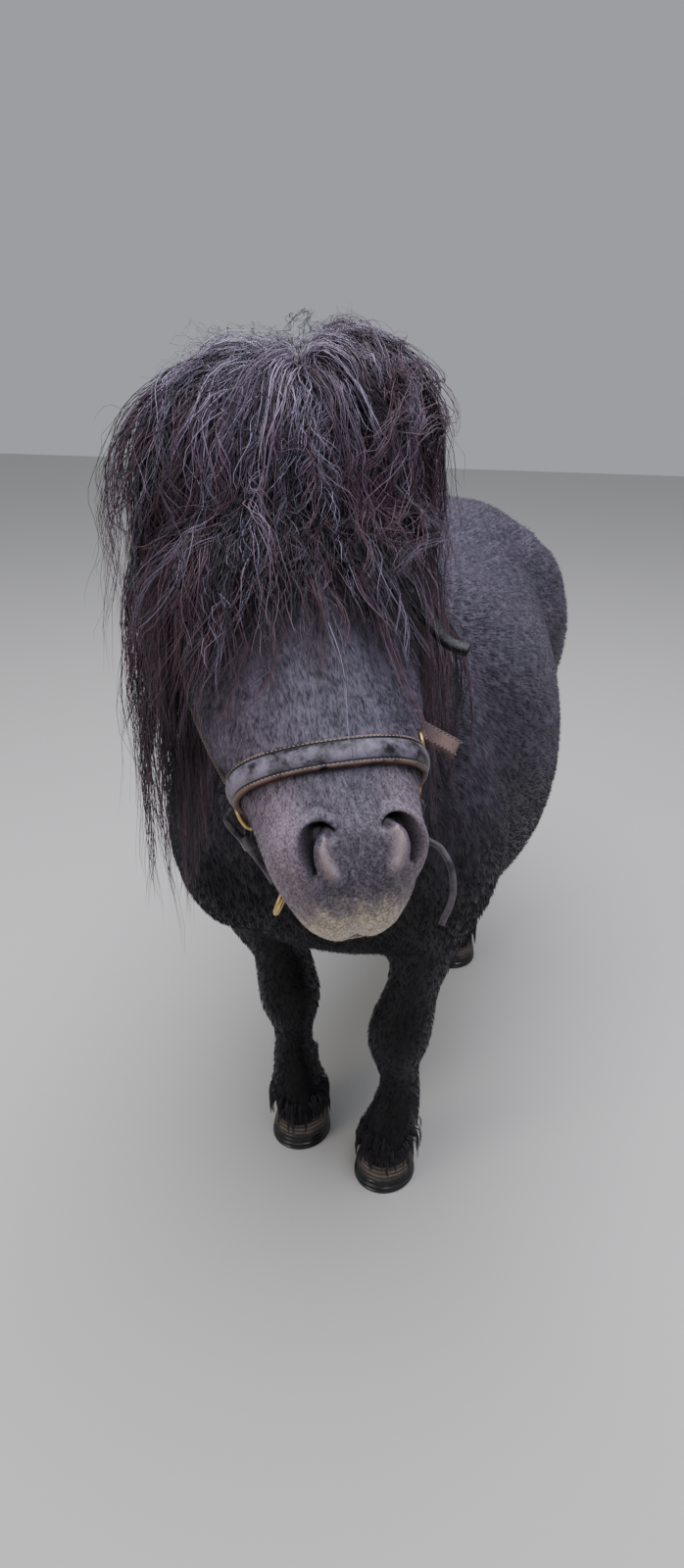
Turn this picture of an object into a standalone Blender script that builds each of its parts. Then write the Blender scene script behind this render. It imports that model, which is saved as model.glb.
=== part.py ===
"""A Shetland pony, life size, standing with its neck bent to its left, in a leather headcollar.

Metres, +Z up. The pony faces -Y and its left side is +X. While it is built, y = 0 is midway between
the front hooves; the last step moves the origin to the middle of the footprint of the whole model.
"""

import math
import random

import bmesh
import bpy
import numpy as np
from mathutils import Matrix, Vector
from mathutils.bvhtree import BVHTree
from mathutils.kdtree import KDTree

GAP = 0.0003            # left between two pieces that touch
PINCH, PINCH_OPENED = 0.000006, 0.00003
SHORTEST_EDGE = 0.00004   # shorter ones are closed up in the hair
CUT_REACH = 1.0         # half the side of the blocks that part the body
FLESH_VOXEL = 0.007
FLESH_SMOOTHING = 18
FLESH_TRIANGLES = 3400
HEAD_SHARE = 0.01       # how much finer the head stays than the body when triangles are thinned out

# Head: its own axes start at the poll and run down the face.
POLL = Vector((0.041, -0.388, 1.187))
HEAD_YAW = math.radians(30)      # turned to the pony's left
HEAD_PITCH = math.radians(42)    # the face line below the horizontal
HEAD_ROLL = math.radians(5)
FACE = Vector((math.sin(HEAD_YAW) * math.cos(HEAD_PITCH), -math.cos(HEAD_YAW) * math.cos(HEAD_PITCH),
               -math.sin(HEAD_PITCH)))
LEVEL = Vector((math.cos(HEAD_YAW), math.sin(HEAD_YAW), 0))
BROW = FACE.cross(LEVEL)
SIDE = LEVEL * math.cos(HEAD_ROLL) + BROW * math.sin(HEAD_ROLL)
BROW = FACE.cross(SIDE)

# Distance down the face, then the bridge and the jaw measured from the face line, then half the width.
HEAD_ROWS = [
    (-0.030, -0.035, -0.100, 0.045),
    (0.010, -0.004, -0.135, 0.070),
    (0.060, 0.010, -0.178, 0.090),
    (0.120, 0.013, -0.200, 0.100),
    (0.180, 0.006, -0.195, 0.103),
    (0.230, -0.001, -0.170, 0.099),
    (0.280, -0.004, -0.140, 0.090),
    (0.325, -0.005, -0.120, 0.078),
    (0.365, -0.006, -0.112, 0.069),
    (0.400, -0.012, -0.108, 0.061),
    (0.430, -0.030, -0.104, 0.045),
    (0.447, -0.052, -0.094, 0.026),
]
EYE_DOWN, EYE_OUT, EYE_IN, EYE_RADIUS = 0.150, 0.086, -0.040, 0.0185
NOSTRIL_DOWN, NOSTRIL_OUT, NOSTRIL_IN = 0.390, 0.040, -0.034

# Barrel: x, distance along the back, height of the back, height of the belly, half width.
BARREL_ROWS = [
    (-0.010, -0.162, 0.750, 0.640, 0.060),
    (-0.012, -0.125, 0.835, 0.505, 0.145),
    (-0.014, -0.060, 0.905, 0.422, 0.200),
    (-0.010, 0.020, 0.960, 0.400, 0.238),
    (-0.004, 0.100, 0.988, 0.392, 0.266),
    (0.002, 0.210, 0.970, 0.386, 0.287),
    (0.004, 0.350, 0.952, 0.386, 0.280),
    (0.004, 0.470, 0.952, 0.404, 0.260),
    (0.002, 0.570, 0.966, 0.442, 0.240),
    (0.0, 0.660, 0.980, 0.485, 0.236),
    (0.0, 0.750, 0.974, 0.545, 0.222),
    (0.0, 0.815, 0.938, 0.590, 0.186),
    (0.0, 0.862, 0.872, 0.655, 0.110),
]
BACK_FULLNESS, BELLY_FULLNESS = 0.82, 0.68   # under 1 gives that half of the barrel squarer corners

# Neck: x, then y and z of the crest, y and z of the throat line, half width.
NECK_ROWS = [
    (0.000, 0.130, 0.975, -0.120, 0.580, 0.160),
    (0.004, -0.010, 1.038, -0.190, 0.680, 0.138),
    (0.016, -0.140, 1.102, -0.255, 0.780, 0.118),
    (0.034, -0.275, 1.160, -0.318, 0.875, 0.100),
    (0.044, -0.375, 1.178, -0.375, 0.955, 0.084),
]

# Legs, left side: x, y, z, half width across, half depth fore and aft.
FORE_ROWS = [
    (0.100, 0.085, 0.900, 0.050, 0.070),
    (0.135, 0.010, 0.780, 0.072, 0.125),
    (0.148, -0.040, 0.660, 0.082, 0.118),
    (0.146, -0.005, 0.545, 0.074, 0.100),
    (0.130, -0.002, 0.440, 0.057, 0.078),
    (0.115, -0.010, 0.360, 0.043, 0.056),
    (0.106, -0.018, 0.315, 0.049, 0.056),
    (0.097, -0.026, 0.272, 0.053, 0.058),
    (0.095, -0.020, 0.232, 0.043, 0.049),
    (0.097, -0.014, 0.195, 0.034, 0.042),
    (0.097, -0.012, 0.150, 0.038, 0.045),
    (0.090, -0.018, 0.105, 0.042, 0.048),
    (0.082, -0.030, 0.062, 0.044, 0.050),
    (0.080, -0.032, 0.030, 0.040, 0.045),
]
HIND_ROWS = [
    (0.105, 0.640, 0.880, 0.090, 0.120),
    (0.150, 0.680, 0.770, 0.112, 0.150),
    (0.150, 0.655, 0.660, 0.104, 0.148),
    (0.150, 0.630, 0.570, 0.080, 0.115),
    (0.137, 0.665, 0.490, 0.060, 0.082),
    (0.117, 0.712, 0.415, 0.045, 0.058),
    (0.102, 0.735, 0.360, 0.044, 0.054),
    (0.094, 0.728, 0.305, 0.038, 0.043),
    (0.088, 0.718, 0.230, 0.035, 0.038),
    (0.084, 0.708, 0.165, 0.038, 0.041),
    (0.081, 0.700, 0.125, 0.046, 0.051),
    (0.079, 0.684, 0.085, 0.041, 0.046),
    (0.077, 0.672, 0.055, 0.048, 0.053),
    (0.077, 0.670, 0.030, 0.041, 0.045),
]
FORE_SHIFT = {"l": 0.004, "r": 0.060}    # how far back each hoof stands
HIND_SHIFT = {"l": -0.040, "r": 0.070}
FORE_FULLER = {"l": 0.0, "r": 0.012}     # how much further out each foreleg bulges above the knee
FULLEST_AT, FULLER_WITHIN = 0.430, 0.130
SHIFT_FROM, SHIFT_TO = 0.62, 0.36        # a leg's shift fades in between these heights

HOOF_HEIGHT, HOOF_HEEL = 0.056, 0.038
HOOF_TOE = 0.050                         # the toe's reach ahead of the hoof's middle
HOOF_SOLE = (0.050, 0.056)               # half width and half length on the ground
HOOF_TOP = (0.041, 0.044)

DOCK_ROWS = [
    (0.000, 0.790, 0.890, 0.044, 0.044),
    (0.000, 0.862, 0.872, 0.040, 0.040),
    (0.000, 0.905, 0.815, 0.030, 0.030),
    (0.000, 0.918, 0.730, 0.024, 0.024),
    (0.000, 0.920, 0.650, 0.016, 0.016),
]

EAR_LENGTH = 0.088
HEAD_AXES = (FACE, SIDE, BROW)

# Where the body is parted: a point on each plane and the side that the first-named piece keeps.
HEAD_CUT = ((0.030, -0.318, 1.070), (0.25, -0.95, -0.12))
NECK_CUT = ((0.0, 0.030, 1.000), (0.0, -0.872, 0.490))
FORE_CUT = ((0.100, 0.0, 0.440), (0.571, 0.0, -0.821))
HIND_CUT = ((0.150, 0.520, 0.455), (0.284, 0.511, -0.812))
FORE_BOX = (-0.160, 0.105)
HIND_BOX = (0.540, 1.000)
KNEE, HOCK = 0.272, 0.365
DOCK_FROM = 0.880

# Hair
CREST_PATH = [(0.041, -0.380, 1.190), (0.034, -0.275, 1.166), (0.016, -0.140, 1.108), (0.004, -0.010, 1.045),
              (0.0, 0.090, 0.998)]
PARTING = Vector((0.041, -0.392, 1.187))    # the forelock is ahead of this point, the mane behind it
FORELOCK_CORE = (0.082, 0.134, 0.074)
FORELOCK_LAYERS = [       # clearance, locks, spread in degrees, length, lift at the root
    (0.003, 9, 100, 0.300, 0.05),
    (0.010, 8, 96, 0.270, 0.30),
    (0.018, 6, 84, 0.230, 0.55),
]
FORELOCK_DROOP = (0.045, 0.070)     # length within which a lock comes to hang down, on the right and the left
MANE_CORE = (0.022, 0.110)     # its height above the crest, and how far it reaches down the sides
MANE_ENDS = {1: 0.52, -1: 0.96}     # how far back along the crest it falls, on the left and the right
LEFT_THINS = (0.35, 0.75, 0.55)     # where its left side thins, and to what share
MANE_HALF = (0.092, 0.150)     # half width of the neck there, at the poll and at the withers
MANE_LAYERS = [           # clearance, locks on the left and the right, length, lift at the root
    (0.009, {1: 5, -1: 7}, 0.54, 0.00),
    (0.016, {1: 4, -1: 6}, 0.47, 0.10),
]
MANE_DROOP = (0.110, 0.045)         # at the poll, on the right and the left
MANE_DROOP_BEHIND = 0.035           # at the withers
MANE_SHORTENS = 0.35
HAIR_KEPT = 0.48          # share of the triangles left once locks are fused
FEATHERED_KEPT = 0.72
TAIL_LAYERS = [           # place on the dock, locks, length
    ((0.900, 0.850), 5, 0.50),
    ((0.914, 0.780), 5, 0.56),
    ((0.918, 0.700), 4, 0.50),
]
FEATHER_LAYERS = [        # locks, height of the root, distance from the leg's middle, length, half width
    (2, 0.150, 0.030, 0.080, 0.018),
    (6, 0.084, 0.036, 0.044, 0.020),
]
FEATHER_FLOOR = 0.008
NOSE_DOWN = 0.310         # how far down the face the noseband lies
LACE = [(0.336, 0.080, -0.092), (0.350, 0.074, -0.098), (0.363, 0.077, -0.102), (0.374, 0.089, -0.104),
        (0.393, 0.095, -0.109), (0.413, 0.093, -0.120), (0.431, 0.082, -0.136)]

random_source = random.Random(11)


def clear_scene():
    for old in list(bpy.data.objects):
        bpy.data.objects.remove(old, do_unlink=True)


def material(name, colour, roughness, metallic=0.0):
    made = bpy.data.materials.new(name)
    made.use_nodes = True
    shader = made.node_tree.nodes["Principled BSDF"]
    shader.inputs["Base Color"].default_value = (*colour, 1.0)
    shader.inputs["Roughness"].default_value = roughness
    shader.inputs["Metallic"].default_value = metallic
    return made


def head_point(down, out, rise):
    """A point in the head's own axes: down the face, out to its left, up from the face line."""
    return POLL + FACE * down + SIDE * out + BROW * rise


def smooth_rows(rows, steps):
    """Rows read from one smooth curve through the given ones."""
    rows = np.array(rows, float)
    ends = np.vstack([2 * rows[0] - rows[1], rows, 2 * rows[-1] - rows[-2]])
    out = []
    for before, start, stop, after in zip(ends, ends[1:], ends[2:], ends[3:]):
        for step in range(steps):
            t = step / steps
            bend = 2 * before - 5 * start + 4 * stop - after
            twist = 3 * start - before - 3 * stop + after
            out.append(start + 0.5 * ((stop - before) * t + bend * t * t + twist * t ** 3))
    out.append(rows[-1])
    return np.array(out)


def ring(centre, across, up, half_width, half_up, half_down, count, fullness=(1.0, 1.0)):
    """An oval section whose upper and lower halves may differ in height and in fullness."""
    points = []
    for step in range(count):
        angle = 2 * math.pi * step / count
        out, rise = math.cos(angle), math.sin(angle)
        out = math.copysign(abs(out) ** fullness[rise < 0], out)
        points.append(centre + across * (out * half_width) + up * (rise * (half_up if rise > 0 else half_down)))
    return points


def loft(bm, rings):
    """Skins rings of equal count, with a flat cap on each end."""
    layers = [[bm.verts.new(point) for point in points] for points in rings]
    count = len(layers[0])
    made = [bm.faces.new(list(reversed(layers[0]))), bm.faces.new(layers[-1])]
    for low, high in zip(layers, layers[1:]):
        for i in range(count):
            made.append(bm.faces.new((low[i], low[(i + 1) % count], high[(i + 1) % count], high[i])))
    return made


def add_object(name, bm, finish=None):
    """Turns bm into an object whose faces point out."""
    bmesh.ops.recalc_face_normals(bm, faces=bm.faces)
    mesh = bpy.data.meshes.new(name)
    bm.to_mesh(mesh)
    bm.free()
    made = bpy.data.objects.new(name, mesh)
    if finish is not None:
        mesh.materials.append(finish)
    bpy.context.scene.collection.objects.link(made)
    return made


def apply_modifiers(obj):
    graph = bpy.context.evaluated_depsgraph_get()
    old = obj.data
    obj.data = bpy.data.meshes.new_from_object(obj.evaluated_get(graph))
    obj.modifiers.clear()
    bpy.data.meshes.remove(old)
    return obj


def copy_of(obj, name):
    made = bpy.data.objects.new(name, obj.data.copy())
    bpy.context.scene.collection.objects.link(made)
    return made


def combine(obj, operation, others, solver="MANIFOLD"):
    """Joins, cuts or intersects obj with others, and removes them."""
    group = bpy.data.collections.new("operands")
    bpy.context.scene.collection.children.link(group)
    for other in others:
        for owner in list(other.users_collection):
            owner.objects.unlink(other)
        group.objects.link(other)
    rounds = [None] if operation != "INTERSECT" else list(others)
    for single in rounds:
        modifier = obj.modifiers.new("combine", "BOOLEAN")
        modifier.operation = operation
        modifier.solver = solver
        if single is None:
            modifier.operand_type = "COLLECTION"
            modifier.collection = group
        else:
            modifier.object = single
    apply_modifiers(obj)
    for other in list(group.objects):
        bpy.data.objects.remove(other, do_unlink=True)
    bpy.data.collections.remove(group)
    return obj


def keep_largest(obj):
    """Leaves only the largest closed surface, which drops scraps and fills sealed hollows."""
    bm = bmesh.new()
    bm.from_mesh(obj.data)
    bmesh.ops.triangulate(bm, faces=bm.faces)
    bm.faces.ensure_lookup_table()
    left, shells = set(bm.faces), []
    while left:
        shell, edge_of_search = set(), [left.pop()]
        while edge_of_search:
            face = edge_of_search.pop()
            shell.add(face)
            for edge in face.edges:
                for near in edge.link_faces:
                    if near in left:
                        left.remove(near)
                        edge_of_search.append(near)
        shells.append(shell)

    def volume(shell):
        total = 0.0
        for face in shell:
            a, b, c = (vert.co for vert in face.verts)
            total += a.dot(b.cross(c))
        return total

    shells.sort(key=volume, reverse=True)
    for shell in shells[1:]:
        bmesh.ops.delete(bm, geom=list(shell), context="FACES")
    bmesh.ops.delete(bm, geom=[v for v in bm.verts if not v.link_faces], context="VERTS")
    bm.to_mesh(obj.data)
    bm.free()
    return obj


def close_short_edges(bm):
    """Closes up the shortest edges, except where the surface would then meet itself."""
    for edge in [edge for edge in bm.edges if edge.calc_length() < SHORTEST_EDGE]:
        if edge.is_valid and edge.calc_length() < SHORTEST_EDGE:
            first, second = ({link.other_vert(end) for link in end.link_edges} for end in edge.verts)
            if len(first & second) == 2:
                bmesh.ops.collapse(bm, edges=[edge])


def open_pinches(obj):
    """Draws points that meet a little into the solid, so that its surface touches itself nowhere."""
    bm = bmesh.new()
    bm.from_mesh(obj.data)
    close_short_edges(bm)
    bm.normal_update()
    tree = KDTree(len(bm.verts))
    for vert in bm.verts:
        tree.insert(vert.co, vert.index)
    tree.balance()
    met = [vert for vert in bm.verts if len(tree.find_range(vert.co, PINCH)) > 1]
    moves = [(vert, vert.normal * PINCH_OPENED) for vert in met]
    for vert, move in moves:
        vert.co -= move
    bm.to_mesh(obj.data)
    bm.free()
    return obj


def grown(obj, by):
    """A copy swollen along its normals, used to cut a neighbour clear of obj."""
    made = copy_of(obj, obj.name + "_grown")
    bm = bmesh.new()
    bm.from_mesh(made.data)
    bm.normal_update()
    moves = [(vert, vert.normal * by) for vert in bm.verts]
    for vert, move in moves:
        vert.co += move
    bm.to_mesh(made.data)
    bm.free()
    return made


def block(centre, half_sizes, turn=None):
    """A plain box, turned about its centre."""
    bm = bmesh.new()
    bmesh.ops.create_cube(bm, size=2.0)
    bmesh.ops.scale(bm, vec=half_sizes, verts=bm.verts)
    bmesh.ops.transform(bm, matrix=Matrix.Translation(centre) @ (turn or Matrix()), verts=bm.verts)
    return add_object("block", bm)


def half_space(point, normal, gap=GAP / 2):
    """A large block on the side of a plane that normal points to."""
    normal = Vector(normal).normalized()
    turn = normal.to_track_quat("Z", "Y").to_matrix().to_4x4()
    return block(Vector(point) + normal * (CUT_REACH + gap), (CUT_REACH,) * 3, turn)


def barrel_rings():
    rings = []
    for x, y, back, belly, half in smooth_rows(BARREL_ROWS, 3):
        middle = belly + 0.47 * (back - belly)
        rings.append(ring(Vector((x, y, middle)), Vector((1, 0, 0)), Vector((0, 0, 1)), half,
                          back - middle, middle - belly, 40, (BACK_FULLNESS, BELLY_FULLNESS)))
    return rings


def neck_rings():
    rows = smooth_rows(NECK_ROWS, 4)
    rings = []
    for i, (x, crest_y, crest_z, throat_y, throat_z, half) in enumerate(rows):
        crest, throat = Vector((x, crest_y, crest_z)), Vector((x, throat_y, throat_z))
        before, after = rows[max(i - 1, 0)], rows[min(i + 1, len(rows) - 1)]
        along = Vector((after[0] - before[0], after[1] - before[1], after[2] - before[2])).normalized()
        up = (crest - throat).normalized()
        across = along.cross(up).normalized()
        depth = (crest - throat).length / 2
        rings.append(ring((crest + throat) / 2, across, up, half, depth, depth, 32))
    return rings


def head_rings():
    rings = []
    for down, bridge, jaw, half in smooth_rows(HEAD_ROWS, 4):
        middle = bridge + 0.45 * (jaw - bridge)
        rings.append(ring(head_point(down, 0, middle), SIDE, BROW, half, bridge - middle, middle - jaw, 36))
    return rings


def shifted(rows, side, shift, fuller=0.0):
    """A leg's rows on one side, with the foot moved back by that side's shift, and bulging out above the knee."""
    out = []
    for x, y, z, across, deep in rows:
        share = min(1.0, max(0.0, (SHIFT_FROM - z) / (SHIFT_FROM - SHIFT_TO)))
        wider = fuller * max(0.0, 1 - abs(z - FULLEST_AT) / FULLER_WITHIN)
        x += wider
        out.append((x if side == "l" else -x, y + shift[side] * share, z, across + wider, deep))
    return out


def leg_rings(rows, count=24):
    rows = smooth_rows(rows, 4)
    rings = []
    for i, (x, y, z, across_half, deep_half) in enumerate(rows):
        before, after = rows[max(i - 1, 0)], rows[min(i + 1, len(rows) - 1)]
        along = Vector(after[:3] - before[:3]).normalized()
        across = Vector((1, 0, 0))
        across = (across - along * across.dot(along)).normalized()
        rings.append(ring(Vector((x, y, z)), across, along.cross(across), across_half, deep_half, deep_half, count))
    return rings


def add_ball(bm, centre, axes, radii, segments=20):
    """A stretched ball, its radii along three axes."""
    turn = Matrix((axes[0], axes[1], axes[2])).transposed().to_4x4()
    size = Matrix.Diagonal((*radii, 1.0))
    bmesh.ops.create_uvsphere(bm, u_segments=segments, v_segments=segments // 2 + 2, radius=1.0,
                              matrix=Matrix.Translation(centre) @ turn @ size)


def model_flesh():
    """The whole body as one closed, blended solid."""
    bm = bmesh.new()
    loft(bm, barrel_rings())
    loft(bm, neck_rings())
    loft(bm, head_rings())
    for side in "lr":
        loft(bm, leg_rings(shifted(FORE_ROWS, side, FORE_SHIFT, FORE_FULLER[side])))
        loft(bm, leg_rings(shifted(HIND_ROWS, side, HIND_SHIFT)))
    loft(bm, leg_rings(DOCK_ROWS))
    upright = Matrix.Identity(3)
    for out in (-1, 1):
        # Brow ridge, cheek, nostril flare and one half of the upper lip.
        add_ball(bm, head_point(EYE_DOWN - 0.006, out * 0.074, -0.034), HEAD_AXES, (0.040, 0.028, 0.030))
        add_ball(bm, head_point(0.125, out * 0.062, -0.135), HEAD_AXES, (0.078, 0.043, 0.064))
        add_ball(bm, head_point(NOSTRIL_DOWN - 0.006, out * 0.038, -0.036), HEAD_AXES, (0.036, 0.030, 0.032))
        add_ball(bm, head_point(0.418, out * 0.018, -0.064), HEAD_AXES, (0.033, 0.026, 0.028))
        # Point of the shoulder, breast muscle, buttock and hip.
        add_ball(bm, Vector((out * 0.100, -0.090, 0.665)), upright, (0.088, 0.078, 0.105))
        add_ball(bm, Vector((out * 0.138 - 0.012, 0.020, 0.610)), upright, (0.115, 0.165, 0.195))
        add_ball(bm, Vector((out * 0.137, 0.695, 0.790)), upright, (0.118, 0.150, 0.130))
    add_ball(bm, head_point(0.405, 0, -0.102), HEAD_AXES, (0.028, 0.036, 0.022))
    flesh = add_object("flesh", bm)
    remesh = flesh.modifiers.new("blend", "REMESH")
    remesh.mode = "VOXEL"
    remesh.voxel_size = FLESH_VOXEL
    smooth = flesh.modifiers.new("soften", "SMOOTH")
    smooth.factor = 0.5
    smooth.iterations = FLESH_SMOOTHING
    apply_modifiers(flesh)
    return flesh


def thin_out(flesh):
    """Takes away triangles where the body is plain, and fewer of them on the head."""
    group = flesh.vertex_groups.new(name="plain")
    for vert in flesh.data.vertices:
        down = (vert.co - POLL).dot(FACE)
        near_head = down > 0.0 and vert.co.z > 0.74 and vert.co.y < -0.30
        muzzle = near_head and down > 0.30
        group.add([vert.index], 0.5 if muzzle else 0.7 if near_head else 1.0, "REPLACE")
    thinning = flesh.modifiers.new("thin", "DECIMATE")
    thinning.ratio = FLESH_TRIANGLES / sum(len(face.vertices) - 2 for face in flesh.data.polygons)
    thinning.vertex_group = group.name
    thinning.vertex_group_factor = HEAD_SHARE
    apply_modifiers(flesh)
    flesh.vertex_groups.clear()
    return flesh


def surface_of(*objects):
    bm = bmesh.new()
    for obj in objects:
        bm.from_mesh(obj.data)
    tree = BVHTree.FromBMesh(bm)
    bm.free()
    return tree


def eye_axes(out):
    """The way the eye looks, the slit's own direction, and their normal."""
    look = (SIDE * (out * 0.88) + FACE * 0.22 + BROW * 0.36).normalized()
    slit = (FACE - look * FACE.dot(look)).normalized()
    return look, slit, look.cross(slit)


def eye_centre(out):
    return head_point(EYE_DOWN, out * EYE_OUT, EYE_IN)


def make_eyes(finish):
    eyes = []
    for name, out in (("eye_l", 1), ("eye_r", -1)):
        look, slit, rise = eye_axes(out)
        bm = bmesh.new()
        add_ball(bm, eye_centre(out), (slit, rise, look), (EYE_RADIUS,) * 3, 12)
        eyes.append(add_object(name, bm, finish))
    return eyes


def model_lids(head):
    """Lids over each eyeball, open in an almond."""
    lids, openings = [], []
    for out in (-1, 1):
        look, slit, rise = eye_axes(out)
        centre = eye_centre(out)
        bm = bmesh.new()
        add_ball(bm, centre, (slit, rise, look), (0.0235, 0.0215, 0.0215), 14)
        lids.append(add_object("lid", bm))
        outline = []
        for step in range(16):
            angle = 2 * math.pi * step / 16
            x, y = math.cos(angle), math.sin(angle)
            outline.append(centre + slit * (0.0155 * x) + rise * (0.0088 * y * (1 - 0.55 * x * x) + 0.001))
        bm = bmesh.new()
        loft(bm, [[point + look * reach for point in outline] for reach in (0.006, 0.05)])
        openings.append(add_object("opening", bm))
    combine(head, "UNION", lids)
    combine(head, "DIFFERENCE", openings)
    return head


def nostril_cutters(surface):
    """A comma-shaped hollow in each side of the nose, widest at its upper end."""
    cutters = []
    for out in (-1, 1):
        inward = (SIDE * -out * 0.62 - FACE * 0.62 - BROW * 0.48).normalized()
        slit = FACE * 0.72 - SIDE * out * 0.42 - BROW * 0.50
        slit = (slit - inward * slit.dot(inward)).normalized()
        wide = inward.cross(slit) * out
        aim = head_point(NOSTRIL_DOWN, out * NOSTRIL_OUT, NOSTRIL_IN)
        skin, _, _, _ = surface.ray_cast(aim - inward * 0.15, inward)
        for along, aside, radii, segments in ((0.0, 0.0, (0.0215, 0.0068, 0.018), 12),
                                              (-0.009, 0.003, (0.0110, 0.0095, 0.016), 10)):
            bm = bmesh.new()
            centre = skin + slit * along + wide * aside + inward * 0.004
            add_ball(bm, centre, (slit, wide, slit.cross(wide)), radii, segments)
            cutters.append(add_object("nostril", bm))
    return cutters


def mouth_cutter():
    """A slit between the lips, closing at the corners of the mouth."""
    rows = [(0.335, -0.076, 0.0004), (0.365, -0.080, 0.0010), (0.400, -0.084, 0.0012), (0.450, -0.090, 0.0014),
            (0.485, -0.096, 0.0016)]
    bm = bmesh.new()
    rings = []
    for down, rise, half in rows:
        rings.append([head_point(down, out, rise + 0.05 * abs(out) + sign * half)
                      for out, sign in ((-0.11, -1), (0, -1), (0.11, -1), (0.11, 1), (0, 1), (-0.11, 1))])
    loft(bm, rings)
    return add_object("mouth", bm)


def ear_rings(out, inner):
    """The ear from root to tip, or the cup inside it."""
    along = (FACE * -0.72 + BROW * 0.34 + SIDE * out * 0.52).normalized()
    opens = (SIDE * out * 0.55 + FACE * 0.60 + BROW * 0.45)
    opens = (opens - along * opens.dot(along)).normalized()
    across = along.cross(opens)
    root = head_point(0.022, out * 0.050, -0.024)
    rings = []
    steps = 6
    for step in range(steps + 1):
        t = step / steps
        half = 0.0235 * (math.sin(math.pi * (0.22 + 0.78 * t)) ** 0.75 + 0.03)
        centre = root + along * (EAR_LENGTH * t) + opens * (0.010 * t * t)
        if inner:
            t_in = 0.16 + 0.80 * t
            half = 0.0235 * (math.sin(math.pi * (0.22 + 0.78 * t_in)) ** 0.75 + 0.03) * 0.74
            centre = root + along * (EAR_LENGTH * t_in) + opens * (0.010 * t_in * t_in + 0.0105)
        rings.append(ring(centre, across, opens, half, half * 0.62, half * 0.62, 12))
    return rings


def make_ears(head, finish):
    ears = []
    for name, out in (("ear_l", 1), ("ear_r", -1)):
        bm = bmesh.new()
        loft(bm, ear_rings(out, False))
        ear = add_object(name, bm, finish)
        bm = bmesh.new()
        loft(bm, ear_rings(out, True))
        combine(ear, "DIFFERENCE", [add_object("cup", bm)])
        combine(ear, "DIFFERENCE", [grown(head, GAP)])
        ears.append(keep_largest(ear))
    return ears


def hoof_rings(x, y):
    """Wall of a hoof from the ground up, with its growth ridges."""
    rings = []
    for share, swell in ((0.0, 0.0), (0.10, 0.0006), (0.36, 0.0), (0.42, 0.0012), (0.64, 0.0), (0.70, 0.0010), (1.0, 0.0)):
        half = HOOF_SOLE[0] + (HOOF_TOP[0] - HOOF_SOLE[0]) * share + swell
        deep = HOOF_SOLE[1] + (HOOF_TOP[1] - HOOF_SOLE[1]) * share + swell
        centre = Vector((x, y + 0.010 * share, 0))
        points = ring(centre, Vector((1, 0, 0)), Vector((0, -1, 0)), half, deep, deep * 0.92, 16)
        for point in points:
            point.z = share * coronet_height(point.y - y)
        rings.append(points)
    return rings


def coronet_height(back):
    """Height of the hoof's upper edge, lower towards the heel."""
    return HOOF_HEIGHT + (HOOF_HEEL - HOOF_HEIGHT) * (back + HOOF_TOE) / (2 * HOOF_TOE)


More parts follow.
